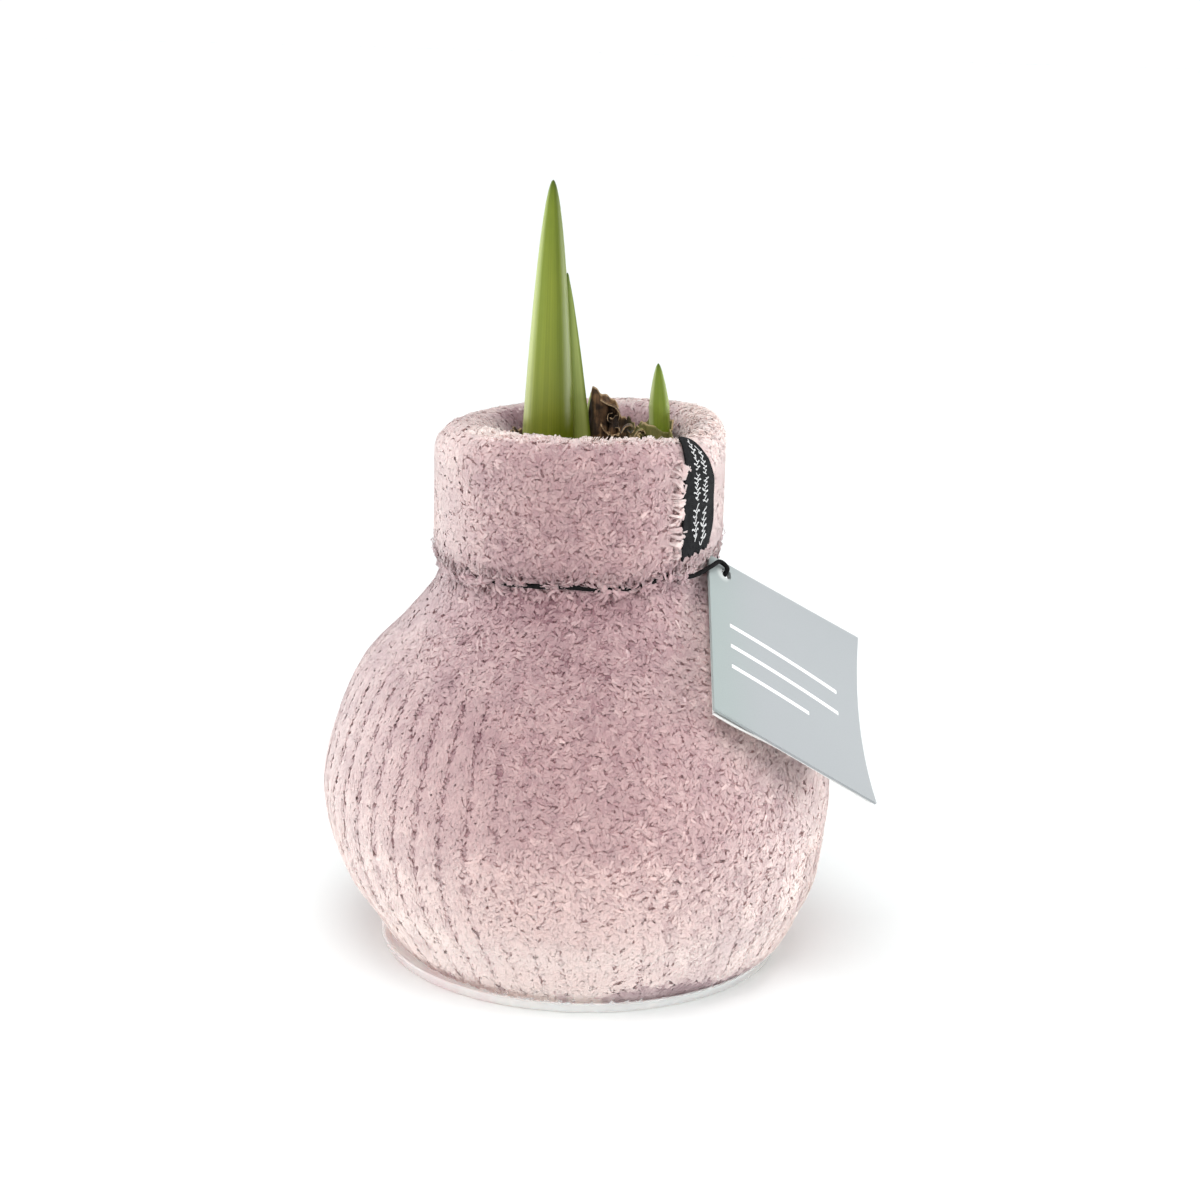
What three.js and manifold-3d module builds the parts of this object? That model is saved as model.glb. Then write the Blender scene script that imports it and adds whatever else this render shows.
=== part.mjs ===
// A sprouting amaryllis bulb dressed in a knitted chenille cover with a folded collar,
// standing in a clear drip tray, with a woven label on the collar and a card tag on a cord.
// Millimetres, +Z up. The origin is on the bulb's axis at the plane that the tray stands on, and
// -Y is the front. An azimuth is measured from the front towards +X.
import * as THREE from 'three';
import { mergeVertices } from 'three/addons/utils/BufferGeometryUtils.js';
import Module from 'manifold-3d';

const wasm = await Module();
wasm.setup();

// Driving dimensions.
const GIRTH = 110; // widest diameter of the dressed bulb
const GIRTH_Z = 35; // height of the widest ring
const WOOL = 5.2; // thickness of the knit at the girth
const FIT = 0.35; // clearance between pieces that touch
const WALES = 54; // knitted ribs round the cover
const RIB = 0.5; // height of a rib above the furrow beside it

const COLLAR_RADIUS = 30.5; // outside of the folded collar
const COLLAR_ROLL = 5.75; // radius of the roll along the collar's top
const RIM_Z = 115.6; // top of the roll
const CREASE_Z = 86.6; // height of the crease that the collar folds down to
const CREASE_RADIUS = 25.6; // how deep the crease goes in
const CREASE_SLOPE = { x: 0.05, y: 0.015 }; // rise of the crease to the right and to the back
const RIM_SLOPE = { x: 0.06, y: -0.03 }; // and of the collar's rim
const COLLAR_SHIFT = -1; // the collar's outside sits this far to the left
const MOUTH_SHIFT = 1.4; // the neck and the collar's mouth sit this far to the right
const FOOT_SHIFT = { x: 3, y: -0.9 }; // the foot sits this far to the right and forward
const FOOT_FADE_Z = 32; // and the body comes back over its axis by this height

const TRAY = { x: 1.4, y: -1.7, floor: 42.3, rim: 43.6, height: 2.4, wall: 0.8 };
const NECK_Z = 109; // top of the bulb's neck
const SOCKET_Z = 100; // foot of the leaves, inside the neck
const LEAF_EDGE = 0.6; // thickness of a leaf at its edge

const CORD = { wire: 0.5, ring: 28.9, z: CREASE_Z - 0.3 };
const LABEL = { from: 44.5, to: 65, top: 5, length: 25, thick: 0.6 };
const CARD = { side: 43, thick: 0.6, open: 0.6, sag: 3, hole: 1.4 };
const CARD_CENTRE = new THREE.Vector3(43.9, -20.6, 66.2);
const CARD_FACING = 54.3; // azimuth that the card's face looks to
const CARD_TILT = 41.6; // how far its face looks up
const CARD_TURN = 41.4; // how far its top edge dips to the right
const CARD_EYE = { across: 4.8, down: 2.6 }; // the eyelet hole, from the card's top left corner

const SEGMENTS = 2 * WALES;
const BULB_SEGMENTS = 40;
const COLLAR_INSIDE = COLLAR_RADIUS - 2 * COLLAR_ROLL;
const ROLL_RADIUS = COLLAR_RADIUS - COLLAR_ROLL;
const ROLL_Z = RIM_Z - COLLAR_ROLL;
const SEAT_Z = TRAY.wall + FIT;
const NECK_RADIUS = COLLAR_INSIDE - FIT;
const BULB_FLOOR = SEAT_Z + WOOL;

const radians = THREE.MathUtils.degToRad;
const clamp = THREE.MathUtils.clamp;
const lerp = THREE.MathUtils.lerp;
const ramp = THREE.MathUtils.smoothstep;

function polar(radius, azimuth, z) {
  return new THREE.Vector3(radius * Math.sin(azimuth), -radius * Math.cos(azimuth), z);
}

// ---- closed meshes, joins and cuts ----

function closed(geometry) {
  geometry.deleteAttribute('normal');
  geometry.deleteAttribute('uv');
  const merged = mergeVertices(geometry, 1e-4);
  const index = Array.from(merged.getIndex().array);
  const faces = [];
  for (let i = 0; i < index.length; i += 3) {
    const [a, b, c] = index.slice(i, i + 3);
    if (a !== b && b !== c && c !== a) faces.push(a, b, c);
  }
  merged.setIndex(faces);
  return merged;
}

function volume(geometry) {
  const position = geometry.getAttribute('position');
  const index = geometry.getIndex().array;
  const corner = [0, 1, 2].map(() => new THREE.Vector3());
  let sum = 0;
  for (let i = 0; i < index.length; i += 3) {
    corner.forEach((point, k) => point.fromBufferAttribute(position, index[i + k]));
    sum += corner[0].dot(corner[1].cross(corner[2])) / 6;
  }
  return sum;
}

function facingOut(geometry) {
  if (volume(geometry) < 0) {
    geometry.setIndex(Array.from(geometry.getIndex().array).reverse());
  }
  return geometry;
}

function solid(geometry) {
  return new wasm.Manifold(new wasm.Mesh({
    numProp: 3,
    vertProperties: new Float32Array(geometry.getAttribute('position').array),
    triVerts: new Uint32Array(geometry.getIndex().array),
  }));
}

function shapeOf(manifold) {
  const mesh = manifold.getMesh();
  const geometry = new THREE.BufferGeometry();
  geometry.setAttribute('position', new THREE.BufferAttribute(mesh.vertProperties, 3));
  geometry.setIndex(new THREE.BufferAttribute(mesh.triVerts, 1));
  return geometry;
}

// ---- shapes used by several pieces ----

// A body turned round the axis from an outline of {r, z} points that starts and ends on it.
function turned(outline, segments, place = (p, azimuth) => polar(p.r, azimuth, p.z)) {
  const lathe = new THREE.LatheGeometry(outline.map((p) => new THREE.Vector2(p.r, p.z)), segments);
  const position = lathe.getAttribute('position');
  for (let i = 0; i < position.count; i++) {
    const azimuth = (Math.floor(i / outline.length) * 2 * Math.PI) / segments;
    const spot = place(outline[i % outline.length], azimuth);
    position.setXYZ(i, spot.x, spot.y, spot.z);
  }
  return closed(lathe);
}

// A thin closed body between two like grids of points, front(u, v) and back(u, v), with u and v
// from 0 to 1. Both faces are split along the same diagonals.
function panel(front, back, across, along) {
  const points = [];
  for (const face of [front, back]) {
    for (let j = 0; j <= along; j++) {
      for (let i = 0; i <= across; i++) points.push(...face(i / across, j / along).toArray());
    }
  }
  const columns = across + 1;
  const layer = columns * (along + 1);
  const at = (face, i, j) => face * layer + j * columns + i;
  const faces = [];
  for (let j = 0; j < along; j++) {
    for (let i = 0; i < across; i++) {
      const near = [at(0, i, j), at(0, i + 1, j), at(0, i + 1, j + 1), at(0, i, j + 1)];
      const far = near.map((n) => n + layer);
      faces.push(near[0], near[1], near[2], near[0], near[2], near[3]);
      faces.push(far[0], far[2], far[1], far[0], far[3], far[2]);
    }
  }
  const edge = [];
  for (let i = 0; i < across; i++) edge.push(at(0, i, 0));
  for (let j = 0; j < along; j++) edge.push(at(0, across, j));
  for (let i = across; i > 0; i--) edge.push(at(0, i, along));
  for (let j = along; j > 0; j--) edge.push(at(0, 0, j));
  edge.forEach((a, k) => {
    const b = edge[(k + 1) % edge.length];
    faces.push(b, a, a + layer, b, a + layer, b + layer);
  });
  const geometry = new THREE.BufferGeometry();
  geometry.setAttribute('position', new THREE.Float32BufferAttribute(points, 3));
  geometry.setIndex(faces);
  return facingOut(closed(geometry));
}

// An upright hole of oval section from the sockets' foot up through everything above it.
function ovalHole(x, y, halfWidth, halfDepth) {
  const height = RIM_Z - SOCKET_Z;
  const hole = new THREE.CylinderGeometry(1, 1, height, 24);
  hole.rotateX(Math.PI / 2);
  hole.scale(halfWidth, halfDepth, 1);
  hole.translate(x, y, SOCKET_Z - FIT + height / 2);
  return solid(closed(hole));
}

// ---- the knitted cover ----

// The dressed bulb stands a little askew: its foot is forward of its axis, its collar leans to
// the left and rises to the right, and the mouth lies to the right of the collar. `inner` is 0 on
// the outside of the cover and 1 on its lining and on the bulb.
function askew(spot, inner) {
  const foot = 1 - ramp(spot.z, 0, FOOT_FADE_Z);
  const collar = ramp(spot.z, GIRTH_Z + 25, CREASE_Z) * (1 - inner);
  const neck = ramp(spot.z, CREASE_Z - 3, SOCKET_Z) * inner;
  const rim = ramp(spot.z, SOCKET_Z, ROLL_Z) * inner;
  const top = ramp(spot.z, CREASE_Z, RIM_Z);
  const slope =
    lerp(CREASE_SLOPE.x, RIM_SLOPE.x, top) * spot.x + lerp(CREASE_SLOPE.y, RIM_SLOPE.y, top) * spot.y;
  return new THREE.Vector3(
    spot.x + foot * FOOT_SHIFT.x + collar * COLLAR_SHIFT + neck * MOUTH_SHIFT,
    spot.y + foot * FOOT_SHIFT.y,
    spot.z + (collar + rim) * slope,
  );
}

// The outside of the dressed bulb, from the edge of its flat foot to just below the crease.
function coverSide() {
  const side = new THREE.SplineCurve([
    new THREE.Vector2(37.8, SEAT_Z),
    new THREE.Vector2(43.4, 4.6),
    new THREE.Vector2(47.2, 10),
    new THREE.Vector2(51.8, 19),
    new THREE.Vector2(GIRTH / 2 - RIB / 2, GIRTH_Z),
    new THREE.Vector2(52.2, 48.5),
    new THREE.Vector2(46.8, 61.3),
    new THREE.Vector2(38, 71.3),
    new THREE.Vector2(31.2, 79.7),
    new THREE.Vector2(29.2, 83.8),
  ]);
  return side.getPoints(14).map((p) => ({ r: p.x, z: p.y }));
}

// The side of the bulb, from the edge of its basal plate up to the foot of its neck.
function bulbSide() {
  const side = new THREE.SplineCurve([
    new THREE.Vector2(31, BULB_FLOOR),
    new THREE.Vector2(42.4, 12),
    new THREE.Vector2(GIRTH / 2 - WOOL - FIT, GIRTH_Z),
    new THREE.Vector2(46, 52),
    new THREE.Vector2(37, 65.5),
    new THREE.Vector2(27.5, 76.5),
    new THREE.Vector2(21, 87),
    new THREE.Vector2(NECK_RADIUS, SOCKET_Z),
  ]);
  return side.getPoints(10).map((p, i) => ({ r: p.x, z: p.y, out: side.getTangent(i / 10) }));
}

// The same side moved out by the fit, as the cover's lining, read from the top down.
function liningSide() {
  const side = bulbSide();
  return side.map(({ r, z, out }) => ({ r: r + FIT * out.y, z: z - FIT * out.x, inner: 1 })).reverse();
}

function coverOutline() {
  const side = coverSide().map((p) => {
    const ribbed = ramp(p.z, 3, 10) * (1 - ramp(p.z, CREASE_Z - 9, CREASE_Z - 3));
    return { ...p, rib: ribbed, inner: 0 };
  });
  const crease = [
    { r: 27.8, z: CREASE_Z - 1 },
    { r: CREASE_RADIUS, z: CREASE_Z - 0.2 },
    { r: 27.4, z: CREASE_Z + 0.8 },
    { r: 29.4, z: CREASE_Z + 1.4 },
  ].map((p) => ({ ...p, rib: 0, inner: 0 }));
  const wall = [4, 12, ROLL_Z - CREASE_Z].map((rise) => {
    return { r: COLLAR_RADIUS, z: CREASE_Z + rise, rib: 1, inner: 0 };
  });
  const roll = [1, 2, 3, 4, 5].map((step) => {
    const turn = (step * Math.PI) / 5;
    const r = ROLL_RADIUS + COLLAR_ROLL * Math.cos(turn);
    const inner = (COLLAR_RADIUS - r) / (2 * COLLAR_ROLL);
    return { r, z: ROLL_Z + COLLAR_ROLL * Math.sin(turn), rib: 1 - inner, inner };
  });
  return [
    { r: 0, z: SEAT_Z, rib: 0, inner: 0 },
    ...side,
    ...crease,
    ...wall,
    ...roll,
    ...liningSide(),
    { r: 0, z: BULB_FLOOR - FIT, inner: 1 },
  ];
}

function coverBody() {
  return turned(coverOutline(), SEGMENTS, (p, azimuth) => {
    const relief = ((p.rib ?? 0) * RIB * Math.cos(WALES * azimuth)) / 2;
    return askew(polar(p.r + relief, azimuth, p.z), p.inner);
  });
}

// The cord and the corner of the card press their own room into the wool.
function knitCover() {
  const pressed = solid(cordTube(CORD.wire + FIT)).add(solid(cardCorner()));
  return shapeOf(solid(coverBody()).subtract(pressed));
}

// ---- the bulb with its dry scales ----

// A papery scale standing on the neck. Its outline is an arc of the neck's own curve, its top is
// ragged, and its upper part leans out by `lean`.
function neckScale({ azimuth, spread, radius, top, lean, ragged }) {
  const foot = NECK_Z - 3;
  const thick = 0.7;
  const face = (offset) => (u, v) => {
    const turn = radians(azimuth + (u - 0.5) * spread);
    const edge = 1 - Math.pow(Math.abs(2 * u - 1), 3);
    const crest = NECK_Z + (top - NECK_Z) * (0.35 + 0.65 * edge);
    const tear = ragged * Math.sin(u * 9 + azimuth) * Math.cos(u * 17 + top);
    const z = foot + v * (crest + tear - foot);
    const spot = polar(radius + offset + lean * v * v, turn, z);
    spot.x += MOUTH_SHIFT;
    return spot;
  };
  return solid(panel(face(thick / 2), face(-thick / 2), 7, 2));
}

// The tall curled scale beside the main shoot: upright on its left, falling away to the right,
// where its edge rolls forward.
function curledScale() {
  const foot = NECK_Z - 3;
  const thick = 0.8;
  const face = (offset) => (u, v) => {
    const bow = radians(-70 + 150 * u);
    const crest = 121.6 - 3.4 * u - 4.2 * u * u;
    const z = foot + v * (crest - foot);
    const reach = 2.5 + offset + 0.8 * v * u;
    const x = 4.1 + reach * Math.sin(bow);
    const y = 1.9 - reach * Math.cos(bow) - 0.9 * v * v * u;
    return new THREE.Vector3(x, y, z);
  };
  return solid(panel(face(thick / 2), face(-thick / 2), 8, 5));
}

const NECK_SCALES = [
  { azimuth: 112, spread: 64, radius: 15.7, top: 114.6, lean: 1.1, ragged: 0.7 },
  { azimuth: 60, spread: 38, radius: 16.2, top: 113, lean: 0.6, ragged: 0.6 },
  { azimuth: 158, spread: 40, radius: 14.6, top: 113.6, lean: 0.4, ragged: 0.8 },
  { azimuth: 205, spread: 46, radius: 16.1, top: 112.4, lean: 0.8, ragged: 0.5 },
  { azimuth: 262, spread: 50, radius: 15.9, top: 111.6, lean: 0.9, ragged: 0.6 },
  { azimuth: 330, spread: 60, radius: 15.6, top: 110.8, lean: 1, ragged: 0.4 },
  { azimuth: 40, spread: 46, radius: 4.6, top: 113, lean: 1.2, ragged: 0.5 },
  { azimuth: 84, spread: 30, radius: 9.2, top: 113.2, lean: 0.9, ragged: 0.6 },
];

function bulb() {
  const rings = [
    { r: NECK_RADIUS, z: NECK_Z - 2.2 },
    { r: 17.4, z: NECK_Z - 0.4 },
    { r: 15.2, z: NECK_Z - 1.6 },
    { r: 13.6, z: NECK_Z },
    { r: 11, z: NECK_Z - 1 },
    { r: 8.6, z: NECK_Z + 0.3 },
    { r: 4, z: NECK_Z - 0.2 },
    { r: 0, z: NECK_Z + 0.2 },
  ];
  const outline = [{ r: 0, z: BULB_FLOOR }, ...bulbSide(), ...rings];
  const core = turned(outline, BULB_SEGMENTS, (p, azimuth) => {
    const spot = askew(polar(p.r, azimuth, p.z), 1);
    return spot.setZ(p.z);
  });
  let body = solid(core).add(curledScale());
  for (const scale of NECK_SCALES) body = body.add(neckScale(scale));
  for (const shoot of [MAIN_SHOOT, SHORT_LEAF, SIDE_SHOOT]) {
    body = body.subtract(ovalHole(shoot.x, shoot.y, shoot.halfWidth + FIT, shoot.halfDepth + FIT));
  }
  return shapeOf(body);
}

// ---- leaves and shoots ----

// The ground that each shoot takes up where it leaves the neck.
const MAIN_SHOOT = { x: -6, y: 0, halfWidth: 7.3, halfDepth: 3.9 };
const SHORT_LEAF = { x: 1.1, y: 4.9, halfWidth: 1.9, halfDepth: 0.9 };
const SIDE_SHOOT = { x: 15.7, y: 1, halfWidth: 2.3, halfDepth: 1.5 };

// A thick pointed leaf. It is `width` across until `run` below its tip, and from there it narrows
// by a power of the distance left. Its faces swell by `front` and `back` in the middle.
function leaf({ x, y, tip, run, width, power, front, back, drift = 0 }) {
  const foot = SOCKET_Z;
  const face = (side, swell) => (u, v) => {
    const z = foot + (tip - foot) * (1 - Math.pow(1 - v, 1.7));
    const share = Math.max(Math.pow(clamp((tip - z) / run, 0, 1), power), 0.09);
    const across = 2 * u - 1;
    const depth = side * (LEAF_EDGE / 2 + swell * share * (1 - across * across));
    const centre = x + drift * Math.max(tip - Math.max(z, NECK_Z), 0);
    return new THREE.Vector3(centre + (across * width * share) / 2, y + depth, z);
  };
  return panel(face(-1, front), face(1, back), 6, 12);
}

function leafFront() {
  return leaf({ x: -7.8, y: -0.55, tip: 164.5, run: 52, width: 10.9, power: 0.55, front: 2.7, back: 0 });
}

function leafBack() {
  return leaf({ x: -4.5, y: 0.5, tip: 145.5, run: 34, width: 11.2, power: 0.8, front: 0, back: 2.5 });
}

function leafShort() {
  const { x, y } = SHORT_LEAF;
  return leaf({ x, y, tip: 120.2, run: 9, width: 3.5, power: 0.7, front: 0.2, back: 0.4 });
}

function shootSmall() {
  const { y } = SIDE_SHOOT;
  return leaf({ x: 14.9, y, tip: 127, run: 9, width: 4.4, power: 0.6, front: 0.9, back: 0.9, drift: 0.05 });
}

// ---- label, card tag and cord ----

// A point over the collar's outside: `run` is measured down from the top of the roll.
function overCollar(azimuth, run, lift) {
  const turn = Math.min(run / COLLAR_ROLL, Math.PI / 2);
  const fall = Math.max(run - (COLLAR_ROLL * Math.PI) / 2, 0);
  const r = ROLL_RADIUS + (COLLAR_ROLL + lift) * Math.sin(turn);
  const z = ROLL_Z + (COLLAR_ROLL + lift) * Math.cos(turn) - fall;
  const inner = clamp((COLLAR_RADIUS - r) / (2 * COLLAR_ROLL), 0, 1);
  return askew(polar(r, azimuth, z), inner);
}

// The label hangs down over the collar. Its top corner and its free edge round off to the right.
function wovenLabel() {
  const under = RIB / 2 + FIT;
  const face = (lift) => (u, v) => {
    const right = LABEL.to - 18 * (v - 0.6) ** 2;
    const azimuth = radians(LABEL.from + u * (right - LABEL.from));
    const top = LABEL.top + 4 * u ** 3;
    const bottom = LABEL.top + LABEL.length - u;
    return overCollar(azimuth, top + v * (bottom - top), lift);
  };
  return panel(face(under + LABEL.thick), face(under), 6, 14);
}

const facing = radians(CARD_FACING);
const tilt = radians(CARD_TILT);
const cardNormal = new THREE.Vector3(
  Math.sin(facing) * Math.cos(tilt),
  -Math.cos(facing) * Math.cos(tilt),
  Math.sin(tilt),
);
const cardLevel = new THREE.Vector3(Math.cos(facing), Math.sin(facing), 0);
const cardSlope = cardLevel.clone().cross(cardNormal);
const cardAcross = cardLevel.clone().applyAxisAngle(cardNormal, -radians(CARD_TURN));
const cardDown = cardSlope.clone().applyAxisAngle(cardNormal, -radians(CARD_TURN));

// A point of the card, in millimetres across and down from its top left corner and out of its
// face. The card's right side is bowed in between its corners.
function cardPoint(across, down, out) {
  const u = across / CARD.side;
  const v = down / CARD.side;
  const bow = CARD.sag * u * u * 4 * v * (1 - v);
  return CARD_CENTRE.clone()
    .addScaledVector(cardAcross, across - CARD.side / 2)
    .addScaledVector(cardDown, down - CARD.side / 2)
    .addScaledVector(cardNormal, out - bow);
}

function cardLayer(top, bottom, downTo, steps) {
  const face = (out) => (u, v) => cardPoint(u * CARD.side, v * downTo, out(v));
  return solid(panel(face(top), face(bottom), 8, steps));
}

// A square card folded over along its top edge, a little open at its bottom edge.
function hangTag() {
  const gap = (v) => 0.2 + CARD.open * v;
  const front = cardLayer(() => 0, () => -CARD.thick, CARD.side, 8);
  const back = cardLayer(
    (v) => -CARD.thick - gap(v),
    (v) => -2 * CARD.thick - gap(v),
    CARD.side,
    8,
  );
  const fold = cardLayer(() => 0, () => -2 * CARD.thick - gap(0), 0.9, 1);
  const eyelet = new THREE.CylinderGeometry(CARD.hole, CARD.hole, 6, 16);
  eyelet.applyQuaternion(new THREE.Quaternion().setFromUnitVectors(new THREE.Vector3(0, 1, 0), cardNormal));
  eyelet.translate(...cardPoint(CARD_EYE.across, CARD_EYE.down, -CARD.thick).toArray());
  return shapeOf(front.add(fold).add(back).subtract(solid(closed(eyelet))));
}

// The room that the tucked corner of the card takes in the collar's edge.
function cardCorner() {
  const reach = 12;
  const face = (out) => (u, v) => cardPoint(-FIT + u * reach, -FIT + v * reach, out);
  return panel(face(FIT), face(-2 * CARD.thick - 0.3 - FIT), 1, 1);
}

// A thin elastic cord lies in the crease right round the neck. At the card it comes forward over
// the card's corner, goes in through the eyelet and back behind the card to the crease.
function cordTube(radius) {
  const inCrease = (azimuth, out = 0, up = 0) => {
    return askew(polar(CORD.ring + out, radians(azimuth), CORD.z + up), 0);
  };
  const ring = [];
  for (let azimuth = 92; azimuth <= 400; azimuth += 14) {
    ring.push(inCrease(azimuth));
  }
  const over = 0.3 + CORD.wire;
  const { across, down } = CARD_EYE;
  const loop = [
    inCrease(50, 1.2),
    cardPoint(0, 5, over + 0.1),
    cardPoint(2.4, 3.2, over + 0.3),
    cardPoint(across - 0.7, down + 0.1, over),
    cardPoint(across, down, -CARD.thick),
    cardPoint(across + 0.3, down - 0.2, -2 * CARD.thick - over - 0.2),
    inCrease(82, 0.6, -0.9),
  ];
  const route = new THREE.CatmullRomCurve3([...ring, ...loop], true, 'centripetal');
  route.getPointAt = route.getPoint;
  route.getTangentAt = route.getTangent;
  const steps = 4 * (ring.length + loop.length);
  return facingOut(closed(new THREE.TubeGeometry(route, steps, radius, 6, true)));
}

// ---- the tray ----

function dripTray() {
  const { x, y, floor, rim, height, wall } = TRAY;
  const outline = [
    { r: 0, z: 0 },
    { r: floor, z: 0 },
    { r: floor + 0.8, z: 0.4 },
    { r: rim - 0.1, z: height - 0.5 },
    { r: rim, z: height - 0.1 },
    { r: rim - 0.4, z: height },
    { r: rim - wall, z: height - 0.3 },
    { r: floor + 0.1, z: wall + 0.3 },
    { r: floor - 0.5, z: wall },
    { r: 0, z: wall },
  ];
  const tray = turned(outline, 64);
  tray.translate(x, y, 0);
  return tray;
}

// ---- assembly ----

const group = new THREE.Group();

function add(name, geometry, color, roughness) {
  const material = new THREE.MeshStandardMaterial({ color, roughness, metalness: 0 });
  const mesh = new THREE.Mesh(geometry, material);
  mesh.name = name;
  group.add(mesh);
}

add('drip_tray', dripTray(), 0xdfe3e2, 0.1);
add('bulb', bulb(), 0x6e4a2c, 0.8);
add('knit_cover', knitCover(), 0xcfa6ae, 1);
add('leaf_front', leafFront(), 0x7d9a34, 0.45);
add('leaf_back', leafBack(), 0x93ab55, 0.45);
add('leaf_short', leafShort(), 0xb9c96a, 0.5);
add('shoot_small', shootSmall(), 0x7ca336, 0.45);
add('woven_label', wovenLabel(), 0x17171a, 0.7);
add('hang_tag', hangTag(), 0xc3cacd, 0.6);
add('tag_cord', facingOut(cordTube(CORD.wire)), 0x121214, 0.6);

export default group;
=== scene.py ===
"""Looks for a sprouting amaryllis bulb in a knitted chenille cover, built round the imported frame.

Shapes are worked out in millimetres in the frame's axes and become metres when a mesh is made.
An azimuth is measured from the front, -Y, towards +X.
"""

import math

import bpy
import numpy as np
from mathutils import Matrix, Vector, noise


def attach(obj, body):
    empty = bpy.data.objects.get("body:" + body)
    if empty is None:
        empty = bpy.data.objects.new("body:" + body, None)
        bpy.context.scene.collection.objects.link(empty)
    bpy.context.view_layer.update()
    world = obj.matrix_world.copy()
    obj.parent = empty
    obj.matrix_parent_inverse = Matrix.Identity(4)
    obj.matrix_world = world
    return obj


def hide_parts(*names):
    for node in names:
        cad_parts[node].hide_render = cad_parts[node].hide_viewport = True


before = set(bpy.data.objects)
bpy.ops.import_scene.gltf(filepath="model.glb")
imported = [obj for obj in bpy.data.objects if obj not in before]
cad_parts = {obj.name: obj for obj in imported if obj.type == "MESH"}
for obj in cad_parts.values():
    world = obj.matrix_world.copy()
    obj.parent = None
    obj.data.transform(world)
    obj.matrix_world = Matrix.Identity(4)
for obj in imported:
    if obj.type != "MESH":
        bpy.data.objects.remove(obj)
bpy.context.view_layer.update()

MM = 0.001
SEED = 31
UV_MAP = "OFBake"
SKIN_NORMAL = "skin_normal"

# ---- sizes that the cover, the label and the cord share with the frame ----

GIRTH_RADIUS = 54.75
GIRTH_Z = 35
WALES = 57
FURROW_AT = math.radians(-4.3)
COURSE = 4.4  # height of a knitted row
COLLAR_RADIUS = 30.5
COLLAR_ROLL = 5.75
RIM_Z = 115.6
CREASE_Z = 86.6
CREASE_SLOPE = (0.05, 0.015)
RIM_SLOPE = (0.06, -0.03)
COLLAR_SHIFT = -1
MOUTH_SHIFT = 1.4
FOOT_SHIFT = (3, -0.9)
FOOT_FADE_Z = 32
SOCKET_Z = 100
NECK_Z = 109
SEAT_Z = 1.15
BULB_FLOOR = 6.35
ROLL_RADIUS = COLLAR_RADIUS - COLLAR_ROLL
ROLL_Z = RIM_Z - COLLAR_ROLL
MOUTH_RADIUS = COLLAR_RADIUS - 2 * COLLAR_ROLL
PILE = 0.9  # depth of the pile over the knitted backing

TRAY_CENTRE = (1.4, -1.7)
TRAY_WALL_RADIUS = 42.3
TRAY_WALL_TOP = 2.7

CORD_RING = 28.9
CORD_Z = CREASE_Z - 0.3
CORD_WIRE = 0.5

LABEL = dict(start=42.8, end=62, top=1.5, length=27.3, thick=0.6, under=0.6)  # degrees, then millimetres

CARD_SIDE = 43
CARD_THICK = 0.6
CARD_SAG = 2.3
CARD_CENTRE = np.array([43.9, -20.6, 66.2])
CARD_FACING = math.radians(54.3)
CARD_TILT = math.radians(41.6)
CARD_TURN = math.radians(41.4)
CARD_EYE = (4.8, 2.6)
CARD_HOLE = 1.4
CARD_PULLS = ((0.5, 1.3), (-0.6, 0.7), (0, -1.8))  # of its lower right, upper right and lower left corner


# ---- small tools ----

def ramp(x, low, high):
    t = np.clip((np.asarray(x, float) - low) / (high - low), 0, 1)
    return t * t * (3 - 2 * t)


def band(x, low, full, fade, gone):
    """1 from full to fade, and 0 below low and above gone."""
    return ramp(x, low, full) * (1 - ramp(x, fade, gone))


def unit(v):
    return v / np.maximum(np.linalg.norm(v, axis=-1, keepdims=True), 1e-9)


def full_turn(steps):
    return np.arange(steps) * 2 * math.pi / steps


def polar(r, azimuth, z):
    r, azimuth, z = np.broadcast_arrays(r, azimuth, z)
    return np.stack([r * np.sin(azimuth), -r * np.cos(azimuth), z], axis=-1).astype(float)


def from_front(azimuth):
    """The azimuth in radians from -pi to pi."""
    return (azimuth + math.pi) % (2 * math.pi) - math.pi


def beside(points, centre, width):
    """1 where points lie at an azimuth in degrees, and less away from it."""
    turn = np.degrees(np.arctan2(points[..., 0], -points[..., 1]))
    return np.exp(-(((turn - centre) / width) ** 2))


def wavy(points, size, seed=0.0):
    """Smooth noise from -1 to 1 at each point, with lumps of about that size."""
    flat = (points.reshape(-1, 3) / size + seed).tolist()
    return np.array([noise.noise(p) for p in flat]).reshape(points.shape[:-1]) * 1.6


def spline(points, per_span):
    """A uniform Catmull-Rom curve through the points."""
    p = np.array(points, float)
    p = np.vstack([2 * p[0] - p[1], p, 2 * p[-1] - p[-2]])
    t = np.arange(per_span)[:, None] / per_span
    out = []
    for i in range(1, len(p) - 2):
        a, b, c, d = p[i - 1 : i + 3]
        out.append(0.5 * (2 * b + (c - a) * t + (2 * a - 5 * b + 4 * c - d) * t**2
                          + (3 * b - a - 3 * c + d) * t**3))
    return np.vstack(out + [p[-2:-1]])


def centripetal(points, per_span):
    """A closed centripetal Catmull-Rom curve through the points."""
    count, out = len(points), []
    for i in range(count):
        p = [points[(i + k - 1) % count] for k in range(4)]
        t = [0.0]
        for k in range(3):
            t.append(t[-1] + np.linalg.norm(p[k + 1] - p[k]) ** 0.5)
        for s in np.arange(per_span) / per_span:
            x = t[1] + (t[2] - t[1]) * s
            a = [p[k] + (p[k + 1] - p[k]) * (x - t[k]) / (t[k + 1] - t[k]) for k in range(3)]
            b = [a[k] + (a[k + 1] - a[k]) * (x - t[k]) / (t[k + 2] - t[k]) for k in range(2)]
            out.append(b[0] + (b[1] - b[0]) * (x - t[1]) / (t[2] - t[1]))
    return np.array(out)


# ---- meshes ----

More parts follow.
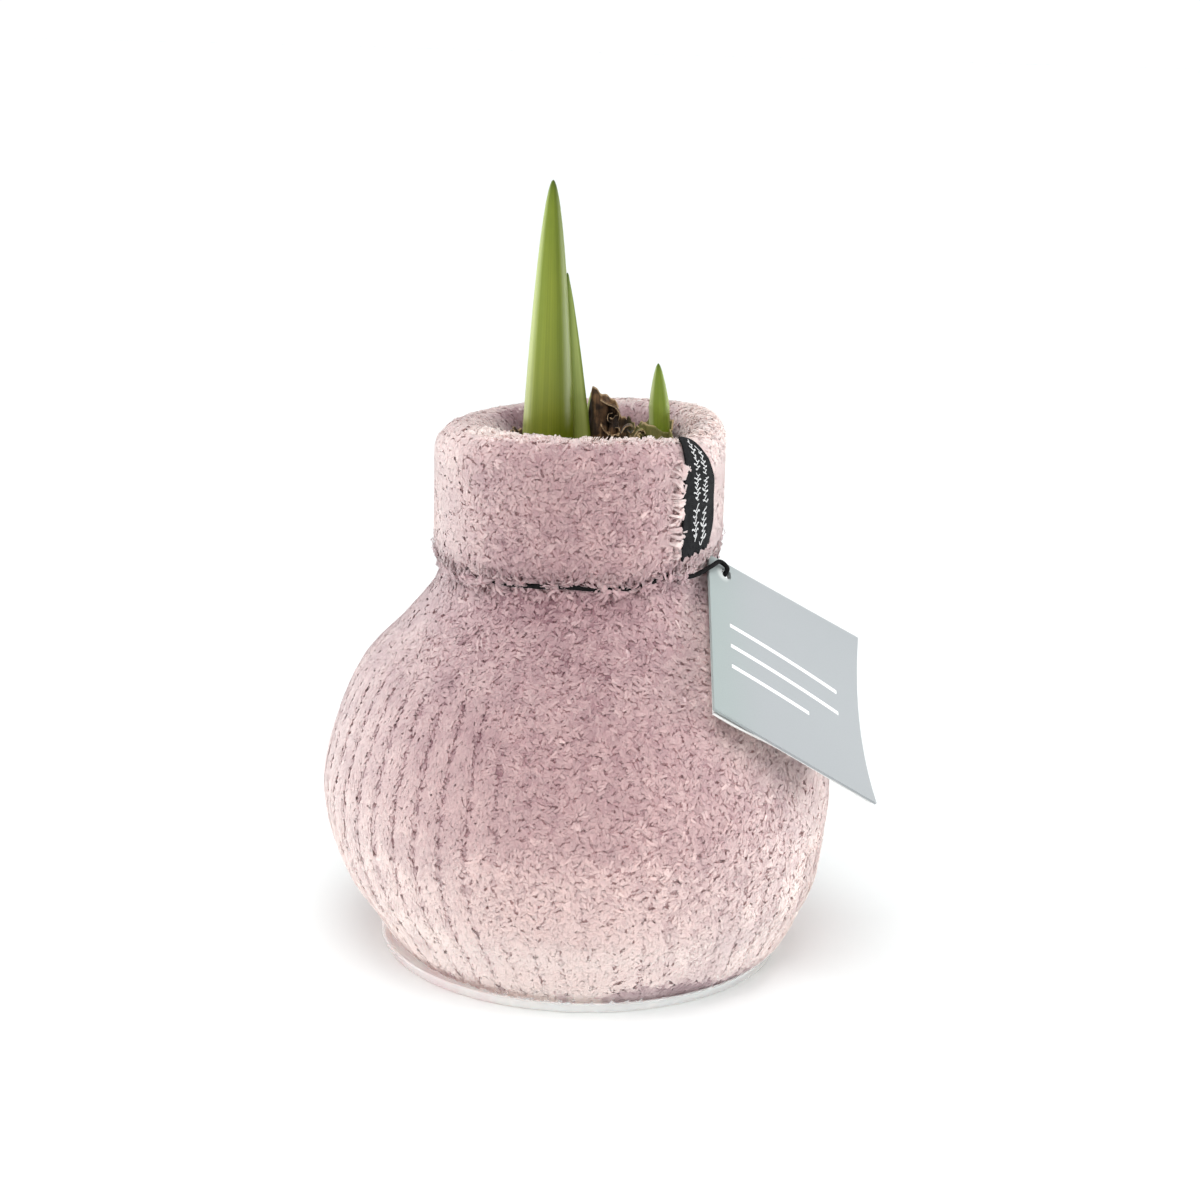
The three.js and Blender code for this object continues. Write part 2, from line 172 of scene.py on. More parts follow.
def make_piece(name, points, faces, material, uv=None, smooth=True, normals=None, skin_normals=None):
    """A mesh from points in millimetres. uv has one row for each corner of each face.

    normals, one for each point, shade it. skin_normals are the cover's surface that the pile stands on, and
    steer its painted sheen.
    """
    mesh = bpy.data.meshes.new(name)
    points = np.asarray(points, float).reshape(-1, 3) * MM
    counts = np.concatenate([np.full(len(f), f.shape[1], np.int32) for f in faces])
    corners = np.concatenate([f.ravel() for f in faces]).astype(np.int32)
    mesh.vertices.add(len(points))
    mesh.vertices.foreach_set("co", points.astype(np.float32).ravel())
    mesh.loops.add(len(corners))
    mesh.loops.foreach_set("vertex_index", corners)
    mesh.polygons.add(len(counts))
    mesh.polygons.foreach_set("loop_start", np.concatenate([[0], np.cumsum(counts)[:-1]]).astype(np.int32))
    if uv is not None:
        layer = mesh.uv_layers.new(name=UV_MAP)
        layer.uv.foreach_set("vector", np.asarray(uv, np.float32).ravel())
    mesh.update(calc_edges=True)
    mesh.validate()
    mesh.polygons.foreach_set("use_smooth", np.full(len(counts), smooth))
    if normals is not None:
        mesh.normals_split_custom_set_from_vertices(normals.astype(np.float32))
    if skin_normals is not None:
        layer = mesh.attributes.new(SKIN_NORMAL, "FLOAT_VECTOR", "POINT")
        layer.data.foreach_set("vector", skin_normals.astype(np.float32).ravel())
    mesh.materials.append(material)
    piece = bpy.data.objects.new(name, mesh)
    bpy.context.scene.collection.objects.link(piece)
    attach(piece, "root")
    return piece


def grid_faces(rows, columns, closed=False):
    """Quads over rows x columns points. A closed grid joins its last column to its first."""
    j, i = np.meshgrid(np.arange(rows - 1), np.arange(columns if closed else columns - 1), indexing="ij")
    a = j * columns + i
    b = j * columns + (i + 1) % columns
    return np.stack([a, b, b + columns, a + columns], axis=-1).reshape(-1, 4)


def round_grid(rows, columns):
    """Faces of a closed grid, and a cap over its first row and its last."""
    k = np.arange(columns)
    return [grid_faces(rows, columns, closed=True), np.stack([k[::-1], (rows - 1) * columns + k])]


def grid_uv(faces, rows, columns, closed=False):
    """Map places 0 to 1 across and along the same grid, with the seam of a closed one kept apart."""
    u = (faces % columns) / (columns if closed else columns - 1)
    if closed:
        u = np.where((u == 0) & (u.max(axis=1, keepdims=True) > 0.5), 1.0, u)
    return np.stack([u, (faces // columns) / (rows - 1)], axis=-1)


def two_sided(near, count):
    """Faces of a thin body: near's, the same over count points more and turned over, and its edges."""
    edges = near[:, [0, 1, 1, 2, 2, 3, 3, 0]].reshape(-1, 2).tolist()
    seen = {(a, b) for a, b in edges}
    rim = np.array([(b, a) for a, b in edges if (b, a) not in seen])
    return np.vstack([near, near[:, ::-1] + count, np.hstack([rim, rim[:, ::-1] + count])])


def thin_shell(face, across, along, thick):
    """A closed thin body: face(u, v, out) gives a point, and the two sides are out and in of it."""
    v, u = np.meshgrid(np.linspace(0, 1, along + 1), np.linspace(0, 1, across + 1), indexing="ij")
    points = [face(u, v, out).reshape(-1, 3) for out in (thick / 2, -thick / 2)]
    faces = two_sided(grid_faces(along + 1, across + 1), v.size)
    return np.vstack(points), faces, grid_uv(faces % v.size, along + 1, across + 1)


def tube(path, radius, sides, closed=False):
    """Points and faces of a tube along a path."""
    path = np.asarray(path, float)
    if closed:
        tangent = unit(np.roll(path, -1, axis=0) - np.roll(path, 1, axis=0))
    else:
        tangent = unit(np.gradient(path, axis=0))
    normal = np.cross(tangent[0], [0.0, 0.0, 1.0])
    if np.linalg.norm(normal) < 0.1:
        normal = np.cross(tangent[0], [1.0, 0.0, 0.0])
    normals = []
    for t in tangent:
        normal = unit(normal - t * normal.dot(t))
        normals.append(normal)
    normals = np.array(normals)
    side = np.cross(tangent, normals)
    turn = full_turn(sides)[None, :, None]
    ring = normals[:, None] * np.cos(turn) + side[:, None] * np.sin(turn)
    points = (path[:, None] + ring * radius).reshape(-1, 3)
    faces, caps = round_grid(len(path), sides)
    if not closed:
        return points, [faces, caps]
    last = len(points) - sides
    shift = int(np.argmin(np.linalg.norm(points[:sides] - points[last], axis=1)))
    k = np.arange(sides)
    after = k + 1
    joint = np.stack([last + k, last + after % sides, (after + shift) % sides, (k + shift) % sides], axis=-1)
    return points, [np.vstack([faces, joint])]


def starts(bodies):
    """Where each body's points start once all are in one mesh."""
    return np.cumsum([0] + [len(points) for points in bodies])[:-1]


# ---- materials ----

# Painted sheen: colour mixed towards a pale one where a surface is seen along it.
PAINTED_SHEEN_SPAN = (-0.12, 0.8, 0.0, 0.95)  # a pile's facing away, from and to, and its share of the edge's colour
PAINTED_SHEEN_COLOUR = (0.98, 0.90, 0.885)


class Tree:
    """The node tree of a material or a world, with short ways to add to it."""

    def __init__(self, owner):
        owner.use_nodes = True
        self.nodes, self.links = owner.node_tree.nodes, owner.node_tree.links

    def fill(self, node, inputs):
        """Gives each of a node's inputs its value, or a link from the socket that feeds it."""
        for place, value in inputs.items():
            socket = node.inputs[place]
            if isinstance(value, bpy.types.NodeSocket):
                self.links.new(value, socket)
            elif socket.type == "RGBA":
                socket.default_value = (*value, 1)
            else:
                socket.default_value = value

    def add(self, kind, inputs=None, **settings):
        node = self.nodes.new("ShaderNode" + kind)
        for name, value in settings.items():
            setattr(node, name, value)
        self.fill(node, inputs or {})
        return node

    def maths(self, operation, *values):
        return self.add("Math", dict(enumerate(values)), operation=operation).outputs[0]

    def span(self, value, low, high, at_low, at_high, kind="LINEAR"):
        """value's stretch from low to high, turned into the one from at_low to at_high."""
        inputs = {"Value": value, "From Min": low, "From Max": high, "To Min": at_low, "To Max": at_high}
        return self.add("MapRange", inputs, interpolation_type=kind).outputs[0]


class Paint(Tree):
    """A material in the making, round its Principled shader. A colour given as one number is grey."""

    def __init__(self, name, roughness, specular=0.5, sheen=0.0, sheen_tint=(1, 1, 1)):
        self.material = bpy.data.materials.new(name)
        super().__init__(self.material)
        self.shader = self.nodes["Principled BSDF"]
        self.set({"Roughness": roughness, "Specular IOR Level": specular, "Sheen Weight": sheen,
                  "Sheen Roughness": 0.5, "Sheen Tint": sheen_tint})

    def set(self, inputs):
        self.fill(self.shader, inputs)

    def object_places(self):
        return self.add("TexCoord").outputs["Object"]

    def map_places(self):
        """The piece's own map, and its U and V apart."""
        places = self.add("UVMap", uv_map=UV_MAP).outputs["UV"]
        parts = self.add("SeparateXYZ", {0: places})
        return places, parts.outputs["X"], parts.outputs["Y"]

    def ramp(self, factor, *stops):
        node = self.add("ValToRGB", {"Fac": factor})
        node.color_ramp.interpolation = "EASE"
        elements = node.color_ramp.elements
        while len(elements) < len(stops):
            elements.new(0.5)
        for element, (place, colour) in zip(elements, stops):
            element.position = place
            element.color = (*(colour if isinstance(colour, tuple) else (colour,) * 3), 1)
        return node.outputs["Color"]

    def mix(self, a, b, factor, blend="MIX"):
        return self.add("Mix", {6: a, 7: b, 0: factor}, data_type="RGBA", blend_type=blend).outputs[2]

    def noise(self, places, scale=1.0, stretch=(1, 1, 1), detail=3.0):
        mapping = self.add("Mapping", {"Scale": stretch, "Vector": places})
        inputs = {"Scale": scale, "Detail": detail, "Vector": mapping.outputs[0]}
        return self.add("TexNoise", inputs).outputs["Fac"]

    def bump(self, height, strength, distance):
        node = self.add("Bump", {"Strength": strength, "Distance": distance, "Height": height})
        self.set({"Normal": node.outputs[0]})

    def painted_sheen(self, colour, normal=None):
        """Painted sheen: the colour is deepest seen from straight above and mixed towards a pale one seen
        along the surface.
        """
        edge = self.add("LayerWeight", {"Blend": 0.5})
        if normal is not None:
            self.fill(edge, {"Normal": normal})
        pale = self.span(edge.outputs["Facing"], *PAINTED_SHEEN_SPAN, kind="SMOOTHSTEP")
        return self.mix(colour, PAINTED_SHEEN_COLOUR, pale)


# Painted shade: the deeper a place lies in the pile, the darker it is painted.
PILE_DEPTH_SHADE = ((0.0, (0.68, 0.495, 0.505)), (0.5, (0.69, 0.505, 0.515)), (0.8, (0.71, 0.525, 0.53)),
              (1.0, (0.77, 0.595, 0.595)))
# Turns a strand's tone and painted light into a colour, from dark to pale.
PILE_TONE_AND_LIGHT = ((0.0, (0.56, 0.42, 0.47)), (0.3, (0.86, 0.78, 0.81)), (0.6, (1.0, 0.98, 0.98)),
             (1.0, (1.19, 1.25, 1.22)))
LIGHT_THROUGH = 0.5  # share of a strand's light that goes through it


def pile_material():
    """Chenille pile. U is a strand's tone with its painted light and shade, V is how high the place stands
    in the pile, painted darker low down as shade; a painted sheen pales it seen along the cover.
    """
    paint = Paint("chenille_pile", 0.9, specular=0.1, sheen=1.0, sheen_tint=(1, 0.97, 0.95))
    _, tone, height = paint.map_places()
    depth = paint.ramp(height, *PILE_DEPTH_SHADE)
    shade = paint.ramp(tone, *PILE_TONE_AND_LIGHT)
    stand = paint.add("Attribute", attribute_name=SKIN_NORMAL).outputs["Vector"]
    colour = paint.mix(paint.painted_sheen(depth, stand), shade, 1.0, "MULTIPLY")
    paint.set({"Base Color": colour})
    through = paint.add("BsdfTranslucent", {"Color": colour})
    both = paint.add("MixShader", {0: LIGHT_THROUGH, 1: paint.shader.outputs[0], 2: through.outputs[0]})
    paint.fill(paint.nodes["Material Output"], {"Surface": both.outputs[0]})
    return paint.material


def backing_material():
    """The knit under the pile, in its deeper mauve, with a painted sheen."""
    paint = Paint("chenille_backing", 1.0, specular=0.1, sheen=0.2, sheen_tint=(1, 0.9, 0.9))
    grain = paint.noise(paint.object_places(), 900)
    colour = paint.ramp(grain, (0.3, (0.68, 0.47, 0.49)), (0.7, (0.78, 0.58, 0.59)))
    paint.set({"Base Color": paint.painted_sheen(colour)})
    paint.bump(grain, 0.6, 0.0006)
    return paint.material


LEAF_RISE = ((0.0, (0.95, 0.9, 0.85)), (0.35, 1.0), (0.7, (0.80, 0.85, 0.72)), (1.0, (0.27, 0.37, 0.18)))


def leaf_material(name, shade, *across):
    """A fleshy leaf. U runs round its section, V from foot to tip. shade is the tint of its patches. The
    ramps round the sections give pale stripes that are partly painted highlight and darker bands that are
    partly painted shade.
    """
    paint = Paint(name, 0.36, specular=0.45)
    places, u, v = paint.map_places()
    stripes_and_light = paint.ramp(u, *across)
    colour = paint.mix(stripes_and_light, paint.ramp(v, *LEAF_RISE), 1.0, "MULTIPLY")
    veins = paint.noise(places, stretch=(90, 1.6, 1), detail=4)
    fine = paint.ramp(veins, (0.35, (0.86, 0.88, 0.82)), (0.65, (1.1, 1.08, 1.06)))
    colour = paint.mix(colour, fine, 0.8, "MULTIPLY")
    patches = paint.noise(places, stretch=(3, 5, 1), detail=2)
    soft = paint.ramp(patches, (0.3, shade), (0.7, 1.0))
    paint.set({"Base Color": paint.mix(colour, soft, 0.7, "MULTIPLY")})
    paint.bump(veins, 0.25, 0.0002)
    return paint.material


def scale_material():
    """Dry papery bulb scales, greener beside the side shoot. V runs up a scale, to its pale torn rim, whose
    tan is partly a painted highlight.
    """
    paint = Paint("bulb_scales", 0.65, specular=0.35)
    places, _, v = paint.map_places()
    streaks = paint.noise(places, stretch=(22, 1.6, 1), detail=4)
    spot = paint.object_places()
    patches = paint.noise(spot, 380)
    base = paint.ramp(streaks, (0.3, (0.022, 0.013, 0.008)), (0.5, (0.05, 0.03, 0.016)),
                      (0.7, (0.12, 0.078, 0.042)))
    patch = paint.ramp(patches, (0.42, (0.5, 0.45, 0.42)), (0.64, (3.0, 2.7, 2.3)))
    colour = paint.mix(base, patch, 1.0, "MULTIPLY")
    x = paint.add("SeparateXYZ", {0: spot}).outputs["X"]
    by_shoot = paint.ramp(paint.maths("MULTIPLY", x, 50), (0.42, 0), (0.62, 1))
    colour = paint.mix(colour, (0.22, 0.22, 0.06), paint.maths("MULTIPLY", by_shoot, 0.7))
    uneven = paint.maths("MULTIPLY", paint.maths("SUBTRACT", patches, 0.5), 0.16)
    # The pale tan rim is partly the dry edge's own colour and partly a painted highlight.
    rim = paint.ramp(paint.maths("ADD", v, uneven), (0.97, 0), (1.0, 1))
    colour = paint.mix(colour, (0.47, 0.33, 0.19), paint.maths("MULTIPLY", rim, 0.75))
    paint.set({"Base Color": colour})
    paint.bump(streaks, 0.7, 0.0006)
    return paint.material


def label_material():
    """Black woven ribbon with a fine twill."""
    paint = Paint("label_ribbon", 0.75, specular=0.18)
    places, u, v = paint.map_places()
    slant = paint.maths("ADD", paint.maths("MULTIPLY", u, 190), paint.maths("MULTIPLY", v, 420))
    twill = paint.maths("SINE", slant)
    wear = paint.noise(places, stretch=(9, 20, 1), detail=4)
    paint.set({"Base Color": paint.ramp(wear, (0.3, (0.003, 0.003, 0.004)), (0.75, (0.014, 0.014, 0.016)))})
    paint.bump(twill, 0.5, 0.00015)
    return paint.material


def fibre_material(paint, scale, dark, pale, strength, distance):
    """Fine even fibre in two close colours."""
    grain = paint.noise(paint.object_places(), scale)
    paint.set({"Base Color": paint.ramp(grain, (0.3, dark), (0.7, pale))})
    paint.bump(grain, strength, distance)
    return paint.material


def thread_material():
    paint = Paint("label_thread", 0.6, specular=0.3, sheen=0.2)
    return fibre_material(paint, 2500, (0.55, 0.55, 0.56), 0.82, 0.4, 0.0001)


def cord_material():
    paint = Paint("elastic_cord", 0.85, specular=0.15)
    return fibre_material(paint, 3000, 0.002, (0.010, 0.009, 0.010), 0.6, 0.0002)


def card_paper_material():
    """The card's uncoated white back."""
    paint = Paint("tag_paper", 0.8, specular=0.2)
    fibre = paint.noise(paint.map_places()[0], stretch=(140, 140, 1), detail=5)
    paint.set({"Base Color": paint.ramp(fibre, (0.3, (0.74, 0.73, 0.71)), (0.7, (0.80, 0.80, 0.79)))})
    paint.bump(fibre, 0.1, 0.0001)
    return paint.material


CARD_LINES = ((0.40, 0.12, 0.84), (0.53, 0.12, 0.84), (0.66, 0.12, 0.62))  # V, and U from and to
CARD_LINE_HALF = 0.011
CARD_PALE_AT = (CARD_EYE[0] - 0.9, CARD_EYE[1] + 0.9)


def card_material():
    """Coated pale grey card with three white ruled lines, and a paler spot beside its eyelet. U is across, V
    down.
    """
    paint = Paint("tag_card", 0.42, specular=0.4)
    places, u, v = paint.map_places()
    tint = paint.ramp(u, (0.0, (0.31, 0.355, 0.35)), (0.35, (0.335, 0.355, 0.368)),
                      (1.0, (0.33, 0.35, 0.363)))
    fibre = paint.noise(places, stretch=(160, 160, 1), detail=5)
    colour = paint.mix(tint, paint.ramp(fibre, (0.3, 0.97), (0.7, 1.02)), 1.0, "MULTIPLY")

    def within(place, middle, half):
        apart = paint.maths("ABSOLUTE", paint.maths("SUBTRACT", place, middle))
        return paint.maths("LESS_THAN", apart, half)

    lines = None
    for down, left, right in CARD_LINES:
        near = within(v, down, CARD_LINE_HALF)
        line = paint.maths("MULTIPLY", near, within(u, (left + right) / 2, (right - left) / 2))
        lines = line if lines is None else paint.maths("MAXIMUM", lines, line)
    colour = paint.mix(colour, (0.9, 0.9, 0.9), lines)
    away = [paint.maths("SUBTRACT", place, at / CARD_SIDE) for place, at in zip((u, v), CARD_PALE_AT)]
    away = paint.maths("SQRT", paint.maths("ADD", *(paint.maths("MULTIPLY", way, way) for way in away)))
    colour = paint.mix(colour, (0.50, 0.53, 0.52), paint.ramp(away, (0.02, 1), (0.05, 0)))
    paint.set({"Base Color": colour})
    paint.bump(fibre, 0.08, 0.0001)
    return paint.material


def tray_material():
    """Clear moulded plastic that lets much of the light through, clearest at its right and tinted pink and
    less clear at its left as a painted reflection of the pile.
    """
    paint = Paint("clear_plastic", 0.12, specular=0.6)
    spot = paint.object_places()
    ripple = paint.noise(spot, 160, detail=2)
    x = paint.add("SeparateXYZ", {0: spot}).outputs["X"]
    # Painted reflection of the pink pile on the tray's left.
    painted_pile_reflection = paint.ramp(ripple, (0.3, (1.0, 0.72, 0.72)), (0.7, (1.0, 0.86, 0.81)))
    clear = paint.ramp(ripple, (0.3, (0.90, 0.88, 0.84)), (0.7, (1.0, 0.97, 0.92)))
    by_side = paint.ramp(paint.maths("MULTIPLY_ADD", x, 12.0, 0.5), (0.2, 0), (0.5, 1))
    paint.set({
        "Base Color": paint.mix(painted_pile_reflection, clear, by_side),
        "Alpha": paint.ramp(by_side, (0.0, 0.62), (1.0, 0.4)),
        "Subsurface Weight": 1.0,
        "Subsurface Radius": (1.0, 0.85, 0.8),
        "Subsurface Scale": 0.006,
    })
    paint.bump(ripple, 0.25, 0.0008)
    return paint.material


# ---- the cover's surface ----

SIDE = [(41.2, SEAT_Z), (44.0, 4.4), (47.2, 10), (51.8, 19), (GIRTH_RADIUS, GIRTH_Z), (52.2, 48.5),
        (46.8, 61.3), (38, 71.3), (31.2, 79.7), (29.2, 83.8)]
CREASE = [(28.6, CREASE_Z - 1.4), (28.1, CREASE_Z - 0.3), (28.6, CREASE_Z + 0.7), (29.9, CREASE_Z + 1.6)]
LINING = [(31.3, BULB_FLOOR - 0.35), (42.7, 11.8), (49.8, GIRTH_Z), (46.3, 52.2), (37.3, 65.7), (27.8, 76.7),
          (21.3, 87.1), (MOUTH_RADIUS, SOCKET_Z)]
OUTLINE_STEP = 0.25


def roll_share(r):
    """0 on the collar's outside and 1 inside its mouth."""
    return np.clip((COLLAR_RADIUS - r) / (2 * COLLAR_ROLL), 0, 1)


def askew(points, inner):
    """Leans the turned shape as the frame's cover leans. inner is 0 outside and 1 on the lining."""
    x, y, z = points[..., 0], points[..., 1], points[..., 2]
    foot = 1 - ramp(z, 0, FOOT_FADE_Z)
    collar = ramp(z, GIRTH_Z + 25, CREASE_Z) * (1 - inner)
    neck = ramp(z, CREASE_Z - 3, SOCKET_Z) * inner
    rim = ramp(z, SOCKET_Z, ROLL_Z) * inner
    top = ramp(z, CREASE_Z, RIM_Z)
    slope_x, slope_y = (low + (high - low) * top for low, high in zip(CREASE_SLOPE, RIM_SLOPE))
    rim_dip = (3.4 * beside(points, 60, 24) + 1.2 * beside(points, 15, 35)) * ramp(z, SOCKET_Z, RIM_Z)
    fold_dip = 1.3 * beside(points, 20, 13) * band(z, CREASE_Z - 8, CREASE_Z, CREASE_Z + 2, SOCKET_Z)
    return np.stack([
        x + foot * FOOT_SHIFT[0] + collar * COLLAR_SHIFT + neck * MOUTH_SHIFT,
        y + foot * FOOT_SHIFT[1],
        z + (collar + rim) * (slope_x * x + slope_y * y) - rim_dip - fold_dip,
    ], axis=-1)


def collar_roll():
    turn = np.linspace(0, math.pi, 25)
    return np.stack([ROLL_RADIUS + COLLAR_ROLL * np.cos(turn), ROLL_Z + COLLAR_ROLL * np.sin(turn)], axis=-1)


def evenly(outline, step):
    """The outline with points that step apart, and the length along it at each."""
    along = np.concatenate([[0], np.cumsum(np.linalg.norm(np.diff(outline, axis=0), axis=1))])
    at = np.linspace(0, along[-1], int(along[-1] / step) + 1)
    return np.stack([np.interp(at, along, outline[:, k]) for k in range(2)], axis=-1), at


class Skin:
    """The outside of the pile as an outline turned round the axis, from the foot to the mouth."""

    def __init__(self):
        wall = [(COLLAR_RADIUS, CREASE_Z + 4), (COLLAR_RADIUS, CREASE_Z + 12)]
        inside = [(MOUTH_RADIUS, ROLL_Z - 4), (MOUTH_RADIUS, SOCKET_Z + 1)]
        outline = np.vstack([spline(SIDE, 12), CREASE, wall, collar_roll(), inside])
        self.outline, self.along = evenly(outline, OUTLINE_STEP)
        kernel = np.hanning(11)[1:-1]
        kernel = kernel / kernel.sum()
        pad = len(kernel) // 2
        padded = np.pad(self.outline, ((pad, pad), (0, 0)), mode="edge")
        soft = np.stack([np.convolve(padded[:, k], kernel, mode="valid") for k in range(2)], axis=-1)
        tangent = unit(np.gradient(soft, axis=0))
        self.normal = np.stack([tangent[:, 1], -tangent[:, 0]], axis=-1)
        self.length = self.along[-1]

    def at(self, along, azimuth):
        """Point, outward normal, sideways and upward tangents, and the outline's r and z."""
        r, z = (np.interp(along, self.along, self.outline[:, k]) for k in range(2))
        nr, nz = (np.interp(along, self.along, self.normal[:, k]) for k in range(2))
        on_roll = (z > ROLL_Z - 0.01) | (r < MOUTH_RADIUS + 0.5)
        point = askew(polar(r, azimuth, z), np.where(on_roll, roll_share(r), 0))
        normal = unit(polar(nr, azimuth, nz))
        side = np.stack([np.cos(azimuth), np.sin(azimuth), np.zeros_like(azimuth)], axis=-1)
        return point, normal, side, np.cross(normal, side), r, z


def crushing(point, azimuth, z):
    """How far the plush lies crushed, 0 to 1: least at the left and low down."""
    upright = ramp(-from_front(azimuth), 0.12, 0.55) * (1 - ramp(z, 52, 80))
    upright = np.maximum(upright, 0.8 * (1 - ramp(z, 12, 34)))
    return np.clip(0.92 - 0.95 * upright + 0.3 * wavy(point, 15.0), 0, 1)


def calmness(azimuth, z):
    """How smooth the plush lies, 0 to 1: most at the sides, low down and round the rim but for its front."""
    turn = np.abs(np.degrees(from_front(azimuth))) + 14 * ramp(z, CREASE_Z, CREASE_Z + 6)
    sides = ramp(turn, 46, 76) * (1 - 0.6 * ramp(turn, 105, 140))
    rim = ramp(z, RIM_Z - 9, RIM_Z - 4) * ramp(turn, 50, 70)
    return np.max([sides, rim, 0.85 * (1 - ramp(z, 6, 38))], axis=0)


def relief(along, azimuth, r, crush, calm):
    """Height of the plush over the skin, the way to its furrow and how deep a place lies in one."""
    wale = (azimuth - FURROW_AT) / (2 * math.pi) * WALES
    toward = (wale - np.floor(wale) - 0.5) * 2
    edge = 1 - np.abs(toward)
    beat = np.abs((along / COURSE + 0.18 * np.round(wale)) % 1 - 0.5) * 2
    furrow = np.exp(-((edge / 0.18) ** 2))
    dash = np.exp(-((edge / 0.24) ** 2)) * np.exp(-((beat / 0.55) ** 4))
    dome = edge * (2 - edge)
    keep = (1 - 0.75 * crush) * (0.3 + 0.7 * ramp(r, 26, 40)) * (1 - 0.7 * calm)
    height = 0.15 - keep * (0.1 * furrow + 0.34 * dash + 0.12 * (1 - dome))
    return height, toward, keep * (0.25 * furrow + 0.75 * dash)


# ---- the cover: knitted backing and pile ----

BACKING_COLUMNS = WALES * 7
BACKING_STEP = 0.8
BACKING_END = 12  # length down inside the mouth that has few rows
SOLE_Z = SEAT_Z + 0.15


def knit_backing(skin, material):
    """The closed knitted shell under the pile, from its sole up over the collar and down inside."""
    turn = FURROW_AT + full_turn(BACKING_COLUMNS)
    end = skin.length - BACKING_END
    along = np.concatenate([np.arange(0, end, BACKING_STEP), np.linspace(end, skin.length, 6)])
    along, azimuth = np.meshgrid(along, turn, indexing="ij")
    point, normal, _, _, r, z = skin.at(along, azimuth)
    crush = crushing(point, azimuth, z)
    height, _, _ = relief(along, azimuth, r, crush, calmness(azimuth, z))
    height = height + 0.22 * wavy(point, 2.0, 5.0) - PILE
    outer = point + normal * height[..., None]
    outer[..., 2] = np.maximum(outer[..., 2], SOLE_Z)
    sole = askew(polar(6, turn[None, :], SOLE_Z), 0)
    lining = spline(LINING, 4)[::-1]
    inside = askew(polar(lining[:, :1], turn[None, :], lining[:, 1:]), 1)
    points = np.vstack([sole, outer, inside])
    piece = make_piece("cover_knit", points, round_grid(*points.shape[:2]), material)
    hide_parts("knit_cover")


TUFT_SPACING = 0.74
STRANDS = 3  # in each tuft
STRAND_WIDTH = 0.58
STRAND_FACES = ([0, 2, 1], [1, 2, 4, 3])  # of its five corners: the root, two at the bend, two at the tip
STRAND_LEVELS = [0, 1, 1, 2, 2]  # root, bend or tip, for each corner
STRAND_SHADING = 0.5  # share of a strand's own normal beside the plush's
# Painted light and shade by height: the pile is painted darkest on the shoulder and palest low down.
PAINTED_LIGHT_BY_HEIGHT = ((0, 0.9), (20, 0.88), (30, 0.82), (36, 0.74), (42, 0.64), (50, 0.55), (60, 0.47),
         (70, 0.40), (77, 0.28), (84, 0.26), (94, 0.46))  # height and how pale the pile is there
CORD_COVERED = ((-180, -36), (11, 15), (27, 29.5), (37, 41), (44, 54), (75, 180))  # by tufts, in degrees
CORD_REACH = 2.2  # how far above and below the cord tufts close over it
PILE_FLOOR = 0.95
SECTORS = ("front", "right", "back", "left")


class Plush:
    """Named arrays that have one row for each tuft or each strand."""

    def __init__(self, **arrays):
        for name, rows in arrays.items():
            setattr(self, name, rows)


def tuft_places(skin, rng):
    """Evenly scattered places on the skin: length along the outline and azimuth."""
    rows = np.arange(TUFT_SPACING / 2, skin.length, TUFT_SPACING)
    r = np.interp(rows, skin.along, skin.outline[:, 0])
    counts = np.round(2 * math.pi * r / TUFT_SPACING).astype(int)
    row = np.repeat(np.arange(len(rows)), counts)
    step = np.arange(len(row)) - np.repeat(np.cumsum(counts) - counts, counts)
    start = rng.random(len(rows))[row]
    azimuth = (step + start + rng.random(len(row)) * 0.9) / counts[row] * 2 * math.pi
    along = rows[row] + (rng.random(len(row)) - 0.5) * TUFT_SPACING
    return np.clip(along, 0, skin.length), azimuth % (2 * math.pi)


def over_cord(turn):
    """1 where tufts close over the cord in the crease, 0 where it shows."""
    return np.max([band(turn, a - 1, a + 1, b - 1, b + 1) for a, b in CORD_COVERED], axis=0)


def label_edge(point, turn, z):
    """1 on the tufts that reach over the label's left edge."""
    start = LABEL["start"]
    reach = start + 0.3 + 2.3 * wavy(point, 2.2, 9.0)
    return band(turn, start - 2.2, start - 1, reach - 0.4, reach + 0.4) * band(z, 90, 91.5, 110, 112)


